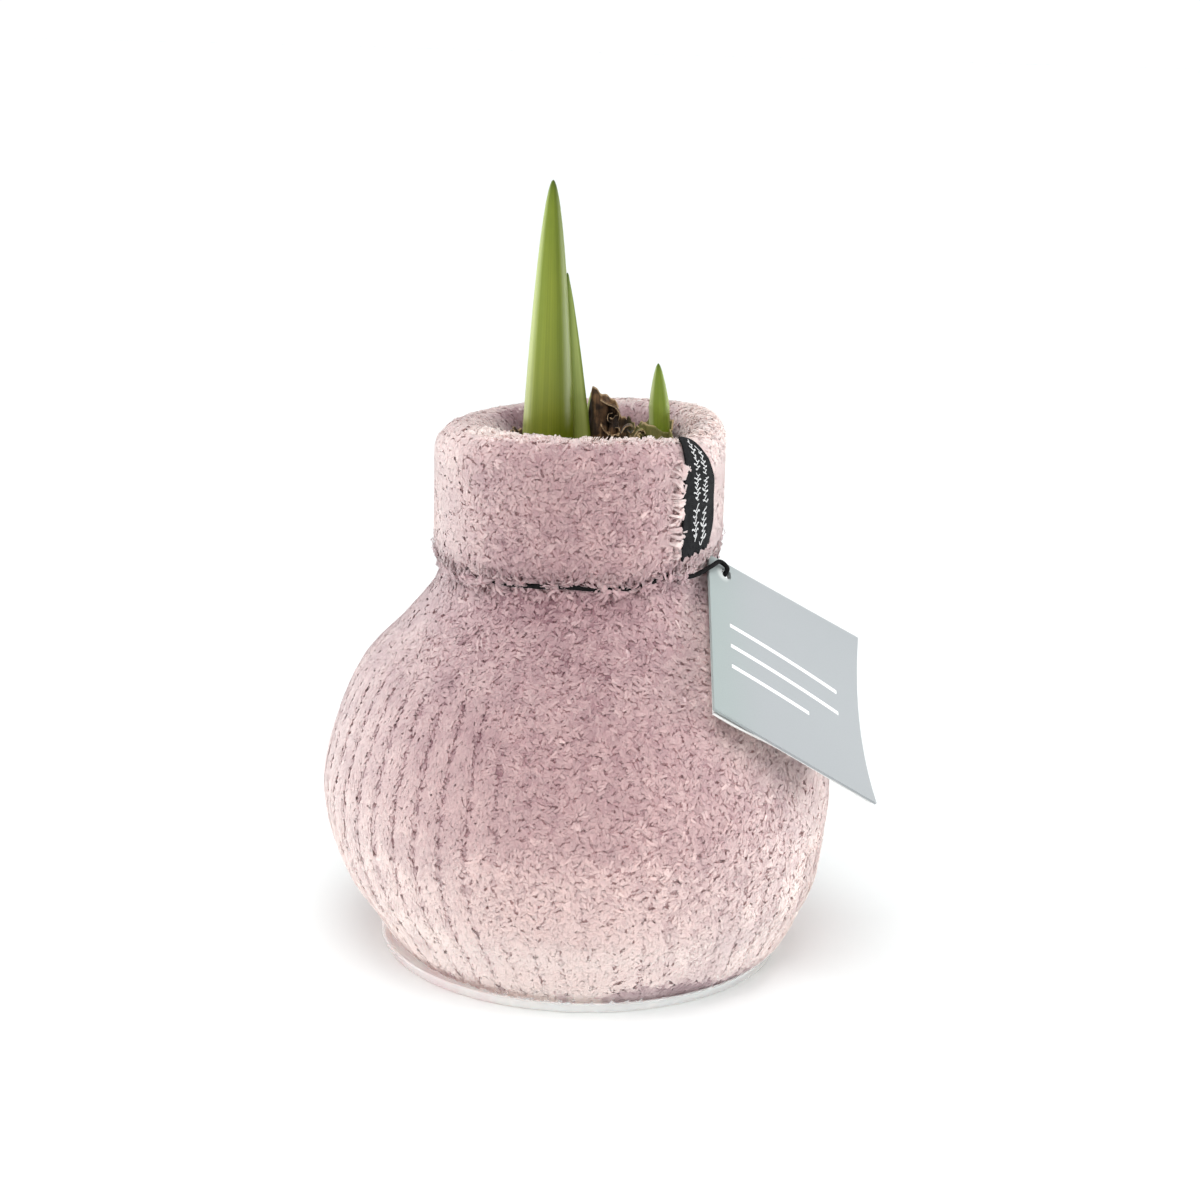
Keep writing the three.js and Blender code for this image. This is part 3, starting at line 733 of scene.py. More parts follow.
def make_tufts(skin, rng):
    """The tufts, with one value of each kind for each: where it stands, and how the plush is there."""
    along, azimuth = tuft_places(skin, rng)
    point, normal, side, up, r, z = skin.at(along, azimuth)
    t = Plush(azimuth=azimuth, point=point, normal=normal, side=side, up=up, r=r, z=z)
    t.ahead = np.abs(from_front(azimuth))
    t.turn = np.degrees(from_front(azimuth))
    t.crush = crushing(point, azimuth, z)
    calm = calmness(azimuth, z)
    t.soft = np.maximum(calm, 0.7 * (1 - t.crush))
    height, t.toward, t.pit = relief(along + 0.3 * wavy(point, 9.0, 7.0), azimuth, r, t.crush, calm)
    t.fringe = label_edge(point, t.turn, z)
    t.brim = ramp(z, RIM_Z - 1.6, RIM_Z - 0.3) * (1 - ramp(np.abs(from_front(azimuth) + 0.1), 0.8, 1.2))
    t.lump = 0.09 * rng.normal(0, 1, len(r)) + 0.18 * wavy(point, 2.0, 3.0) * (0.4 + 0.6 * t.crush)
    t.lump = t.lump * (1 - 0.85 * t.soft)

    near_cord = CORD_REACH - np.abs(z - CORD_Z)
    closing = over_cord(t.turn) * (1.5 - 0.7 * ramp(t.ahead, 0.9, 1.3)) * ramp(near_cord, 0, 2)
    ragged = 0.7 * wavy(point, 2.2, 11.0) * (1 - 0.6 * calm)
    cover = ramp(near_cord, 0, 1.2) * (0.7 + ragged + closing)
    ragged_brim = t.brim * (0.6 * wavy(point, 1.3, 21.0) - 0.05)
    t.height = height + t.lump + cover + 1.25 * t.fringe + ragged_brim

    # Under the fold the pile is seen as part of the cover's broad side, for its painted sheen.
    broad = normal.copy()
    broad[:, 2] *= 1 - 0.85 * ramp(6 - np.abs(z - CORD_Z), 0, 4)
    t.broad = unit(broad)
    return t


def lay_tufts(t, rng):
    """Standing plush leans a little into the furrows and hangs down, crushed plush lies every way."""
    way = wavy(t.point, 3.2, 40.0) * math.pi * 1.6 + rng.normal(0, 0.8, len(t.r))
    strength = 0.2 + 0.8 * t.crush
    t.lean = t.toward * 0.45 * (1 - t.crush) + np.cos(way) * strength + 0.35 * t.fringe
    t.fall = -0.55 * (1 - t.crush) + np.sin(way) * strength - 0.1


def foot_shade(t):
    """1 in the uneven shadow just over the tray, which is deepest at the front right."""
    top = 4.2 + 0.9 * wavy(t.point, 2.5, 33.0) + 2.2 * beside(t.point, 20, 16)
    deepest = band(t.turn, 4, 9, 48, 60)
    return (1 - ramp(t.z, top - 2, top)) * np.maximum(deepest, ramp(wavy(t.point, 2.5, 90.0), 0.15, 0.6))


def tuft_tone_and_light(t, rng):
    """How pale each tuft is, 0 to 1: a tone that differs at random, with painted light and shade by height,
    in broad patches, in the plush's relief and in the shadow over the tray.
    """
    z = t.z
    by_chance = 0.09 * rng.normal(0, 1, len(t.r)) * (1 - 0.75 * t.soft)
    # Painted light where the card shades the right shoulder, on the collar beyond the label, on the collar's
    # sides and back and low at the front; painted shade in the mouth and low at the front right.
    patches = (
        0.32 * beside(t.point, 46, 14) * band(z, 46, 58, 78, 84)  # the right shoulder, beside the card
        + 0.22 * ramp(z, 104, 111) * ramp(t.turn, 50, 70)  # the collar beyond the label
        + 0.2 * ramp(z, 88, 94) * ramp(t.ahead, 0.5, 1.1)  # the collar's sides and back
        - 0.6 * (z > SOCKET_Z) * ramp(ROLL_RADIUS - t.r, 0, 4) * ramp(t.ahead, 1.5, 2.2)  # in the mouth
        + 0.2 * beside(t.point, 0, 25) * (1 - ramp(z, 24, 40))  # low at the front
        - 0.18 * beside(t.point, 38, 18) * (1 - ramp(z, 34, 50))  # low at the front right
    )
    tone = np.interp(z, *np.transpose(PAINTED_LIGHT_BY_HEIGHT)) + 0.12 * wavy(t.point, 6.0, 60.0) + by_chance + patches
    # Raised lumps, the tufts over the label's edge and the rim's brim are painted paler as lit; the pits and
    # the band over the tray are painted shade.
    t.tone = tone + 0.35 * t.lump - 0.42 * t.pit - 0.75 * foot_shade(t) + 0.25 * t.fringe + 0.32 * t.brim


def above_skin(s, spots):
    return ((spots - s.point) * s.normal).sum(axis=1)


def bend_strands(t, rng):
    """Every tuft's strands, each up from its root, over at its bend and out to its tip."""
    s = Plush(**{name: np.repeat(rows, STRANDS, axis=0) for name, rows in vars(t).items()})
    count = len(s.r)
    lean = s.lean + rng.normal(0, 0.22, count)
    fall = s.fall + rng.normal(0, 0.22, count)
    stand = rng.uniform(0.05, 0.35, count) * (1 - 0.85 * s.soft) + 0.9 * s.brim
    lying = s.side * lean[:, None] + s.up * fall[:, None]
    lower = unit(s.normal + 0.5 * lying)
    s.upper = unit(s.normal * stand[:, None] + unit(lying))
    height = s.height - np.abs(rng.normal(0, 0.08, count)) * (1 - 0.9 * s.soft)
    stray = s.side * rng.normal(0, 0.26, count)[:, None] + s.up * rng.normal(0, 0.26, count)[:, None]
    s.tip = s.point + s.normal * height[:, None] + stray
    s.bend = s.tip - s.upper * rng.uniform(0.8, 1.6, count)[:, None]
    drop = np.maximum(above_skin(s, s.bend) + PILE, 0.25)
    s.root = s.bend - lower * (drop / (lower * s.normal).sum(axis=1))[:, None]
    s.keep = ~(in_card(s.tip) | in_card(s.bend) | in_card((s.bend + s.root) / 2))
    return s


def place_strand_tone_and_shade(s, rng):
    """Map places of the corners: U is the strand's tone with its painted light, V how high a corner stands
    in the pile, which the pile's colour turns into painted shade low down.
    """
    tone = np.clip(s.tone + rng.normal(0, 0.05, len(s.r)), 0.02, 0.98)
    rise = np.stack([above_skin(s, spots) for spots in (s.root, s.bend, s.tip)], axis=-1) + PILE
    rise = np.clip(rise / (PILE + 0.4), 0.02, 0.98)
    # Where the plush lies smooth, the painted shade deep in the pile is lessened, but not in its pits.
    rise = rise + (0.9 - rise) * (0.5 * s.soft * (1 - s.pit))[:, None]
    across = tone[:, None] + 0.006 * np.array([0, -1, 1, -1, 1])
    s.places = np.stack([across, rise[:, STRAND_LEVELS]], axis=-1)


def widen_strands(s, rng):
    """The strands' five corners each, and the normals that shade them."""
    count = len(s.r)
    wide = unit(np.cross(s.upper, s.normal + 0.1 * rng.normal(0, 1, (count, 3)))) * STRAND_WIDTH / 2
    wide = wide * rng.uniform(0.75, 1.15, count)[:, None]
    outward = (np.cross(wide, s.tip - s.bend) * s.normal).sum(axis=1)
    wide = wide * np.where(outward < 0, -1, 1)[:, None]
    ends = (s.root, s.bend - wide, s.bend + wide, s.tip - wide * 0.6, s.tip + wide * 0.6)
    corners = np.stack(ends, axis=1)
    corners[..., 2] = np.maximum(corners[..., 2], PILE_FLOOR)
    s.corners = inside_tray(corners)

    # A strand shades partly as the plush as a whole does, because light goes through and round it.
    low_face = unit(np.cross(wide, s.bend - s.root))
    high_face = unit(np.cross(wide, s.tip - s.bend))
    own_share = STRAND_SHADING * (1 - 0.8 * s.soft)[:, None]
    faces = (low_face, unit(low_face + high_face), high_face)
    s.shading = np.stack([unit(face * own_share + s.normal) for face in faces], axis=1)[:, STRAND_LEVELS]


def inside_tray(points):
    """Draws points that are as low as the tray's wall in to it."""
    x, y, z = (points[..., k] for k in range(3))
    x, y = x - TRAY_CENTRE[0], y - TRAY_CENTRE[1]
    r = np.hypot(x, y)
    low = z < TRAY_WALL_TOP
    scale = np.where(low & (r > TRAY_WALL_RADIUS), TRAY_WALL_RADIUS / np.maximum(r, 1), 1)
    return np.stack([TRAY_CENTRE[0] + x * scale, TRAY_CENTRE[1] + y * scale, z], axis=-1)


def pile(skin, material):
    """The chenille pile: tufts of short bent strands, rooted in the backing, in five pieces."""
    rng = np.random.default_rng(SEED)
    tufts = make_tufts(skin, rng)
    lay_tufts(tufts, rng)
    tuft_tone_and_light(tufts, rng)
    strands = bend_strands(tufts, rng)
    place_strand_tone_and_shade(strands, rng)
    widen_strands(strands, rng)
    collar = strands.z > CREASE_Z
    sector = ((strands.azimuth + math.pi / 4) / (math.pi / 2)).astype(int) % 4
    groups = {"pile_collar": collar}
    groups.update({"pile_" + name: ~collar & (sector == k) for k, name in enumerate(SECTORS)})
    for name, own in groups.items():
        own = own & strands.keep
        first = np.arange(own.sum())[:, None] * 5
        uv = np.vstack([strands.places[own][:, corners].reshape(-1, 2) for corners in STRAND_FACES])
        make_piece(name, strands.corners[own], [first + corners for corners in STRAND_FACES], material,
                   uv, normals=strands.shading[own].reshape(-1, 3),
                   skin_normals=np.repeat(strands.broad[own], 5, axis=0))


# ---- leaves ----

LEAF_SIDES = 40
LEAF_ROWS = 90
LEAF_EDGE = 0.3
LEAF_BLUNT = 0.09  # share of the full width at which the point starts to round off


def leaf(node, material, x, y, tip, run, width, power, front, back, drift=0.0):
    """A thick pointed leaf with a closed, softly ribbed section.

    It narrows to its tip over the run, by the power. front and back are its swell to each side.
    """
    v = np.linspace(0, 1, LEAF_ROWS)
    z = SOCKET_Z + (tip - SOCKET_Z) * (1 - (1 - v) ** 1.9)
    share = np.clip((tip - z) / run, 0, 1) ** power
    blunt_run = run * LEAF_BLUNT ** (1 / power)
    blunt = LEAF_BLUNT * np.sqrt(np.clip((tip - z) / blunt_run, 0, 1))
    share = np.where(share < LEAF_BLUNT, blunt, share)[:, None]
    angle = full_turn(LEAF_SIDES)
    across, through = -np.cos(angle), np.sin(angle)
    swell = np.where(through > 0, front, back) * share + LEAF_EDGE * share ** 0.3
    rib = 1 + 0.018 * np.cos(9 * np.arcsin(np.clip(across, -1, 1)))
    centre = x + drift * np.maximum(tip - np.maximum(z, NECK_Z), 0)
    points = np.stack(np.broadcast_arrays(
        width / 2 * share * across + centre[:, None], y - swell * through * rib, z[:, None]), axis=-1)

    # The last row is one point, which a fan joins to the row below.
    top = (LEAF_ROWS - 1) * LEAF_SIDES
    faces = grid_faces(LEAF_ROWS - 1, LEAF_SIDES, closed=True)
    k = np.arange(LEAF_SIDES)
    fan = top - LEAF_SIDES + np.stack([k, np.roll(k, -1), np.full(LEAF_SIDES, LEAF_SIDES)], axis=-1)
    below = 1 - 1 / (LEAF_ROWS - 1)
    fan_uv = np.stack([np.stack([k, k + 1, k + 0.5], axis=-1) / LEAF_SIDES,
                       np.broadcast_to([below, below, 1], fan.shape)], axis=-1)
    foot_uv = np.broadcast_to([0.25, 0], (LEAF_SIDES, 2))
    uv = [grid_uv(faces, LEAF_ROWS, LEAF_SIDES, closed=True), fan_uv, foot_uv]
    points = points.reshape(-1, 3)[:top + 1]
    piece = make_piece(node + "_skin", points, [faces, fan, k[None, ::-1]], material,
                       np.vstack([places.reshape(-1, 2) for places in uv]))
    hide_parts(node)


def leaves():
    front = leaf_material(
        "leaf_green", (0.86, 0.9, 0.8), (0.0, (0.50, 0.56, 0.24)), (0.08, (0.36, 0.42, 0.11)),
        (0.16, (0.22, 0.27, 0.03)), (0.24, (0.21, 0.25, 0.022)), (0.34, (0.125, 0.16, 0.003)),
        (0.44, (0.14, 0.18, 0.006)), (0.5, (0.22, 0.26, 0.055)), (0.75, (0.15, 0.19, 0.012)))
    behind = leaf_material(
        "leaf_back_green", (0.88, 0.9, 0.85), (0.0, (0.26, 0.30, 0.07)), (0.25, (0.18, 0.24, 0.015)),
        (0.40, (0.30, 0.36, 0.10)), (0.46, (0.14, 0.19, 0.01)), (0.5, (0.12, 0.17, 0.01)),
        (0.75, (0.12, 0.17, 0.012)))
    pale = leaf_material(
        "leaf_pale", (0.9, 0.92, 0.8), (0.0, (0.60, 0.64, 0.26)), (0.25, (0.50, 0.56, 0.18)),
        (0.5, (0.55, 0.60, 0.22)))
    bright = leaf_material(
        "shoot_green", (0.85, 0.9, 0.8), (0.0, (0.55, 0.60, 0.34)), (0.1, (0.50, 0.56, 0.24)),
        (0.18, (0.22, 0.29, 0.03)), (0.36, (0.165, 0.225, 0.01)), (0.5, (0.32, 0.39, 0.10)),
        (0.75, (0.2, 0.27, 0.025)))
    leaf("leaf_front", front, x=-7.8, y=-0.55, tip=164.5, run=52, width=10.9, power=0.55,
         front=2.7, back=0)
    leaf("leaf_back", behind, x=-4.5, y=0.5, tip=145.5, run=34, width=11.2, power=0.8,
         front=0, back=2.5)
    leaf("leaf_short", pale, x=1.1, y=4.9, tip=120.2, run=9, width=3.5, power=0.7,
         front=0.2, back=0.4)
    leaf("shoot_small", bright, x=14.9, y=1, tip=127, run=9, width=4.4, power=0.6,
         front=0.9, back=0.9, drift=0.05)


# ---- the bulb's body and dry neck ----

SCALE_FOOT = NECK_Z - 3
SCALE_THICK = 0.3
BULB_SEGMENTS = 96
BULB_SIDE = [(31, BULB_FLOOR), (42.4, 12), (49.45, GIRTH_Z), (46, 52), (37, 65.5), (27.5, 76.5), (21, 87),
             (MOUTH_RADIUS - 0.35, SOCKET_Z)]
BULB_TOP = [(MOUTH_RADIUS - 0.35, NECK_Z - 2.2), (17.4, NECK_Z - 0.4), (15.2, NECK_Z - 1.6), (13.6, NECK_Z),
            (11, NECK_Z - 1), (8.6, NECK_Z + 0.3), (4, NECK_Z - 0.2), (0.4, NECK_Z + 0.2)]
NECK_SCALES = [  # azimuth, spread, radius, top, lean, ragged
    (112, 64, 15.7, 114.6, 1.1, 0.7), (60, 38, 16.2, 111.5, 0.6, 0.3), (158, 40, 14.6, 113.6, 0.4, 0.8),
    (205, 46, 16.1, 112.4, 0.8, 0.5), (262, 50, 15.9, 111.6, 0.9, 0.6), (330, 60, 15.6, 110.8, 1, 0.4),
    (46, 50, 5.2, 112.6, 1.3, 0.5), (84, 34, 9.4, 112.8, 0.9, 0.3), (66, 30, 8, 112.2, 1.4, 0.4),
    (20, 34, 7.6, 111.8, 1.2, 0.5),
]
CURLS = [  # x and z of a rolled strip from its root, and its near and far y
    ([(3.0, 119.6), (4.6, 118.7), (6.0, 118.1), (7.0, 116.9), (6.9, 115.4), (5.8, 114.6), (4.7, 115.2),
      (4.7, 116.4), (5.6, 116.8)], -2.3, -0.3),
    ([(3.2, 114.6), (4.2, 113.0), (5.6, 112.2), (7.0, 112.6), (7.1, 113.7), (6.2, 113.9)], -3.2, -1.4),
    ([(7.4, 112.2), (8.2, 113.6), (9.4, 114.1), (10.2, 113.2), (9.5, 112.4), (8.8, 112.9)], -1.5, 0.6),
    ([(10.2, 112.0), (11.0, 113.0), (12.0, 113.4), (12.6, 112.6), (11.9, 112.0)], -2.2, -0.4),
]
CURLED_PLAN = [(0.8, 1.6), (1.3, 0.3), (2.6, -0.6), (4.2, -0.7), (5.7, -0.1), (6.6, -0.2), (6.9, -1.0),
               (6.3, -1.8), (5.4, -1.7), (5.1, -1.0), (5.7, -0.7)]
CURLED_CREST = [(0, 117.2), (0.11, 122.2), (0.2, 120.9), (0.32, 120.2), (0.48, 118.6), (0.58, 116.9),
                (0.7, 116), (1, 115)]
SHEATH_CENTRE = (14.75, 0.9)


def neck_scale(azimuth, spread, radius, top, lean, ragged):
    """A torn scale that stands round the neck and leans out."""
    def face(u, v, out):
        turn = np.radians(azimuth + (u - 0.5) * spread)
        edge = 1 - np.abs(2 * u - 1) ** 3
        crest = NECK_Z + (top - NECK_Z) * (0.35 + 0.65 * edge)
        tear = ragged * (np.sin(u * 9 + azimuth) * np.cos(u * 17 + top) + 0.5 * np.sin(u * 53 + top))
        z = SCALE_FOOT + v * (crest + tear - SCALE_FOOT)
        crinkle = 0.28 * np.sin(u * 31 + azimuth + 2 * v) * v + 0.12 * np.sin(u * 71 + v * 9)
        point = polar(radius + out + crinkle + lean * v * v, turn, z)
        point[..., 0] += MOUTH_SHIFT
        return point

    return thin_shell(face, 40, 16, SCALE_THICK)


def along_path(path, u):
    """Both coordinates of a plane path at each share u of it, and its direction there."""
    way = unit(np.gradient(path, axis=0))
    places = np.linspace(0, 1, len(path))
    return (np.interp(u, places, values) for values in (*path.T, *way.T))


def curled_scale():
    """The tall scale beside the main shoot: pointed at its left, falling away and rolled up at its right."""
    plan = spline(CURLED_PLAN, 8)

    def face(u, v, out):
        x, y, ax, ay = along_path(plan, u)
        crest = np.interp(u, *np.transpose(CURLED_CREST))
        crinkle = out + 0.12 * np.sin(u * 41 + 3 * v) + 0.1 * np.sin(v * 15 + u * 9)
        z = SCALE_FOOT + v * (crest + 0.2 * np.sin(u * 47) - SCALE_FOOT)
        tighten = 0.25 * (1 - v) * ramp(u, 0.45, 0.8)
        return np.stack([x + ay * crinkle - 2.2 * tighten, y - ax * crinkle + 1.4 * tighten, z], axis=-1)

    points, faces, uv = thin_shell(face, 80, 36, SCALE_THICK)
    # The rolled part takes the rim's pale tan, partly a painted highlight.
    rolled = ramp(uv[..., 0], 0.62, 0.8)
    uv[..., 1] = np.maximum(uv[..., 1], rolled * (0.95 + 0.04 * np.sin(uv[..., 1] * 40)))
    return points, faces, uv


def curl(path, near, far):
    """A torn strip of scale that is rolled up towards the viewer. path gives its x and z from its root."""
    line = spline(path, 10)

    def face(u, v, out):
        x, z, ax, az = along_path(line, u)
        wide = 1 - 0.35 * u + 0.12 * np.sin(u * 19)
        out = out * (1 - 0.4 * u)
        return np.stack([x - az * out, far + (near - far) * v * wide, z + ax * out - 0.15 * v], axis=-1)

    points, faces, uv = thin_shell(face, 70, 8, 0.26)
    # A curl's outer edge takes the rim's pale tan, partly a painted highlight.
    uv[..., 1] = 0.5 + 0.5 * uv[..., 1]
    return points, faces, uv


def shoot_sheath():
    """The short split sheath round the foot of the side shoot."""
    x, y = SHEATH_CENTRE

    def face(u, v, out):
        turn = np.radians(-150 + 300 * u)
        crest = 113.4 + 1.1 * np.cos(turn * 1.3 + 1.2) + 0.15 * np.sin(u * 29)
        reach = 2.75 + out + 0.25 * (1 - v) + 0.12 * np.sin(u * 33 + 2 * v)
        z = SCALE_FOOT + v * (crest - SCALE_FOOT)
        return np.stack([x + reach * np.sin(turn), y - 0.8 * reach * np.cos(turn), z], axis=-1)

    return thin_shell(face, 60, 16, SCALE_THICK)


def bulb(material):
    """The bulb's body under the cover, with the neck's torn scales standing in its top."""
    outline = np.vstack([[(0.4, BULB_FLOOR)], spline(BULB_SIDE, 5), BULB_TOP])
    core = askew(polar(outline[:, :1], full_turn(BULB_SEGMENTS), outline[:, 1:]), 1)
    core[..., 2] = outline[:, 1:]
    core_faces, caps = round_grid(len(outline), BULB_SEGMENTS)
    core_uv = grid_uv(core_faces, len(outline), BULB_SEGMENTS, closed=True) * [3, 1]
    parts = [(core.reshape(-1, 3), core_faces, core_uv)]
    parts += [neck_scale(*scale) for scale in NECK_SCALES] + [curl(*strip) for strip in CURLS]
    parts += [curled_scale(), shoot_sheath()]
    points, faces, places = zip(*parts)
    quads = np.vstack([body + start for body, start in zip(faces, starts(points))])
    uv = np.vstack([body.reshape(-1, 2) for body in places] + [np.full((caps.size, 2), 0.5)])
    piece = make_piece("bulb_scales", np.vstack(points), [quads, caps], material, uv)
    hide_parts("bulb")


# ---- label, card and cord ----

STITCH_ROWS = ((0.36, 0.05), (0.63, 0.09))  # shares across and down the label
STITCH_RUNS = 3
THREAD_RADIUS = 0.1


def over_collar(azimuth, run, lift):
    """A point over the collar's outside, run down from the top of its roll and lifted off it."""
    turn = np.minimum(run / COLLAR_ROLL, math.pi / 2)
    fall = np.maximum(run - COLLAR_ROLL * math.pi / 2, 0)
    r = ROLL_RADIUS + (COLLAR_ROLL + lift) * np.sin(turn)
    z = ROLL_Z + (COLLAR_ROLL + lift) * np.cos(turn) - fall
    return askew(polar(r, azimuth, z), roll_share(r))


def label_face(u, v, out):
    """The label's face. Its sides aren't straight, its top right is low and its foot is frayed."""
    right = LABEL["end"] - 18 * (v - 0.6) ** 2
    left = LABEL["start"] + 3.7 * (1 - v) ** 7
    azimuth = np.radians(left + u * (right - left))
    top = LABEL["top"] + 4 * u**3
    fray = 0.35 * np.sin(u * 23 + 1) + 0.25 * np.sin(u * 57)
    bottom = LABEL["top"] + LABEL["length"] - u + fray
    ripple = 0.12 * np.sin(v * 14 + u * 3) * u
    return over_collar(azimuth, top + v * (bottom - top), LABEL["under"] + LABEL["thick"] / 2 + out + ripple)


def stitch_run(column, start, run):
    """One run of loose looped stitches, wandering about its place across the label."""
    t = np.linspace(0, 1, 110)
    phase = 2 * math.pi * (5.4 * t + 0.37 * run + column)
    reach = 0.075 + 0.03 * np.sin(phase * 0.37 + column * 9)
    u = column + reach * np.sin(phase) + 0.015 * np.sin(phase * 0.23)
    v = start + 0.295 * run + 0.25 * t + 0.012 * np.sin(2 * phase + 0.7)
    return tube(label_face(u, v, 0.27 + 0.07 * np.cos(phase * 0.5)), THREAD_RADIUS, 5)


def woven_label(ribbon, thread):
    points, faces, uv = thin_shell(label_face, 40, 80, LABEL["thick"] - 0.1)
    piece = make_piece("label_ribbon", points, [faces[:, ::-1]], ribbon, uv[:, ::-1])
    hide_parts("woven_label")
    runs = [stitch_run(*row, run) for row in STITCH_ROWS for run in range(STITCH_RUNS)]
    points, faces = zip(*runs)
    faces = [np.vstack([f[k] + start for f, start in zip(faces, starts(points))]) for k in range(2)]
    make_piece("label_stitches", np.vstack(points), faces, thread)


def card_axes():
    facing, tilt = CARD_FACING, CARD_TILT
    flat = math.cos(tilt)
    normal = np.array([math.sin(facing) * flat, -math.cos(facing) * flat, math.sin(tilt)])
    level = np.array([math.cos(facing), math.sin(facing), 0.0])
    turn = Matrix.Rotation(-CARD_TURN, 3, Vector(normal))
    return np.array(turn @ Vector(level)), np.array(turn @ Vector(np.cross(level, normal))), normal


CARD_ACROSS, CARD_DOWN, CARD_NORMAL = card_axes()
CARD_STEPS = 45
CARD_GAP = 0.15  # between the two layers at the fold
CARD_OPENING = 0.3  # how much wider the gap is at the foot
FOLD_STEPS = 9
FOLD_INNER = 0.1


def card_point(across, down, out):
    """A point across and down from the card's top left corner and out of its bowed face."""
    across, down, out = np.broadcast_arrays(across, down, out)
    u, v = across / CARD_SIDE, down / CARD_SIDE
    bow = CARD_SAG * u * u * 4 * v * (1 - v)
    for share, (right, low) in zip((u * v, u * (1 - v), (1 - u) * v), CARD_PULLS):
        across, down = across + right * share, down + low * share
    return (CARD_CENTRE + CARD_ACROSS * (across - CARD_SIDE / 2)[..., None]
            + CARD_DOWN * (down - CARD_SIDE / 2)[..., None] + CARD_NORMAL * (out - bow)[..., None])


def in_card(points, margin=0.35):
    """True for points within the card's slab, or nearly."""
    away = points - CARD_CENTRE
    across = away @ CARD_ACROSS + CARD_SIDE / 2
    down = away @ CARD_DOWN + CARD_SIDE / 2
    out = away @ CARD_NORMAL
    inside = (across > -margin) & (across < CARD_SIDE) & (down > -margin) & (down < CARD_SIDE)
    return inside & (out < margin) & (out > -2 * CARD_THICK - 0.8 - margin)


def card_layer(depth=0.0, opening=0.0, skewed=0.0):
    """One layer of the card, with the eyelet punched through it, at a depth that grows by the opening.

    skewed draws its left edge in, and its lower edge too but for its left third.
    """
    share = np.linspace(0, 1, CARD_STEPS)
    v, u = np.meshgrid(share, share, indexing="ij")
    dx, dy = u * CARD_SIDE - CARD_EYE[0], v * CARD_SIDE - CARD_EYE[1]
    away = np.hypot(dx, dy)
    scale = np.where(away < CARD_HOLE, CARD_HOLE / np.maximum(away, 0.05), 1)
    across, down = CARD_EYE[0] + dx * scale, CARD_EYE[1] + dy * scale
    quads = grid_faces(CARD_STEPS, CARD_STEPS)
    middle = [place.reshape(-1)[quads].mean(axis=1) for place in (across, down)]
    hole = np.hypot(middle[0] - CARD_EYE[0], middle[1] - CARD_EYE[1]) < CARD_HOLE * 0.999
    faces = two_sided(quads[~hole], u.size)
    place = np.stack([across.reshape(-1), down.reshape(-1)], axis=-1) / CARD_SIDE
    across = across + skewed * 0.8 * ramp(1 - u, 0.8, 1)
    down = down - skewed * ramp(v, 0.8, 1) * ramp(u, 0.1, 0.45)
    points = [card_point(across, down, -back - opening * v) for back in (depth, depth + CARD_THICK)]
    return np.vstack([side.reshape(-1, 3) for side in points]), faces, place[faces % u.size]


def card_fold():
    """The round fold along the card's top edge."""
    turn = np.linspace(0, math.pi, FOLD_STEPS)[:, None]
    across = np.linspace(0, CARD_SIDE, CARD_STEPS)[None, :]
    outer = CARD_THICK + FOLD_INNER
    points = [card_point(across, -radius * np.sin(turn), -outer + radius * np.cos(turn))
              for radius in (outer, FOLD_INNER)]
    half = FOLD_STEPS * CARD_STEPS
    faces = two_sided(grid_faces(FOLD_STEPS, CARD_STEPS), half)[:, ::-1]
    place = np.stack([(faces % half % CARD_STEPS) / (CARD_STEPS - 1), np.zeros(faces.shape)], axis=-1)
    return np.vstack([side.reshape(-1, 3) for side in points]), faces, place


def without_joint(points, faces, places):
    """Leaves out the edge faces in the first row of points, where the front layer and the fold join."""
    keep = np.any(faces % (len(points) // 2) >= CARD_STEPS, axis=1)
    return points, faces[keep], places[keep]


def hang_tag(card, paper):
    """A square card folded over along its top edge, its eyelet punched through both layers."""
    front, faces, places = without_joint(*card_layer())
    fold, fold_faces, fold_places = without_joint(*card_fold())
    faces = np.vstack([faces, fold_faces + len(front)])
    uv = np.vstack([places, fold_places])
    piece = make_piece("hang_card", np.vstack([front, fold]), [faces[:, ::-1]], card, uv[:, ::-1],
                       smooth=False)
    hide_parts("hang_tag")
    back, faces, uv = card_layer(depth=CARD_THICK + CARD_GAP, opening=CARD_OPENING, skewed=1.0)
    make_piece("hang_card_back", back, [faces[:, ::-1]], paper, uv[:, ::-1], smooth=False)


def cord_route():
    """Right round the crease, then over the card's corner, in at its eyelet and back behind it."""
    def in_crease(azimuth, out=0.0, up=0.0):
        return askew(polar(CORD_RING + out, math.radians(azimuth), CORD_Z + up), 0)

    over = 0.3 + CORD_WIRE
    across, down = CARD_EYE
    points = [in_crease(a) for a in range(92, 401, 14)] + [
        in_crease(54, 0.9, -1.2), card_point(0, 4, over + 0.1), card_point(2.3, 1.5, over + 0.2),
        card_point(across - 0.4, down - 0.5, over), card_point(across, down, -CARD_THICK),
        card_point(across + 0.3, down - 0.2, -2 * CARD_THICK - over - 0.2), in_crease(82, 0.6, -0.9),
    ]
    return centripetal(np.array(points).reshape(-1, 3), 10)


def tag_cord(material):
    points, faces = tube(cord_route(), CORD_WIRE, 10, closed=True)
    piece = make_piece("cord_loop", points, faces, material)
    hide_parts("tag_cord")


# ---- the tray ----

TRAY_SEGMENTS = 160
TRAY_FLOOR = 42.3
TRAY_RIM = 43.6
TRAY_HEIGHT = 2.4
TRAY_WALL = 0.8


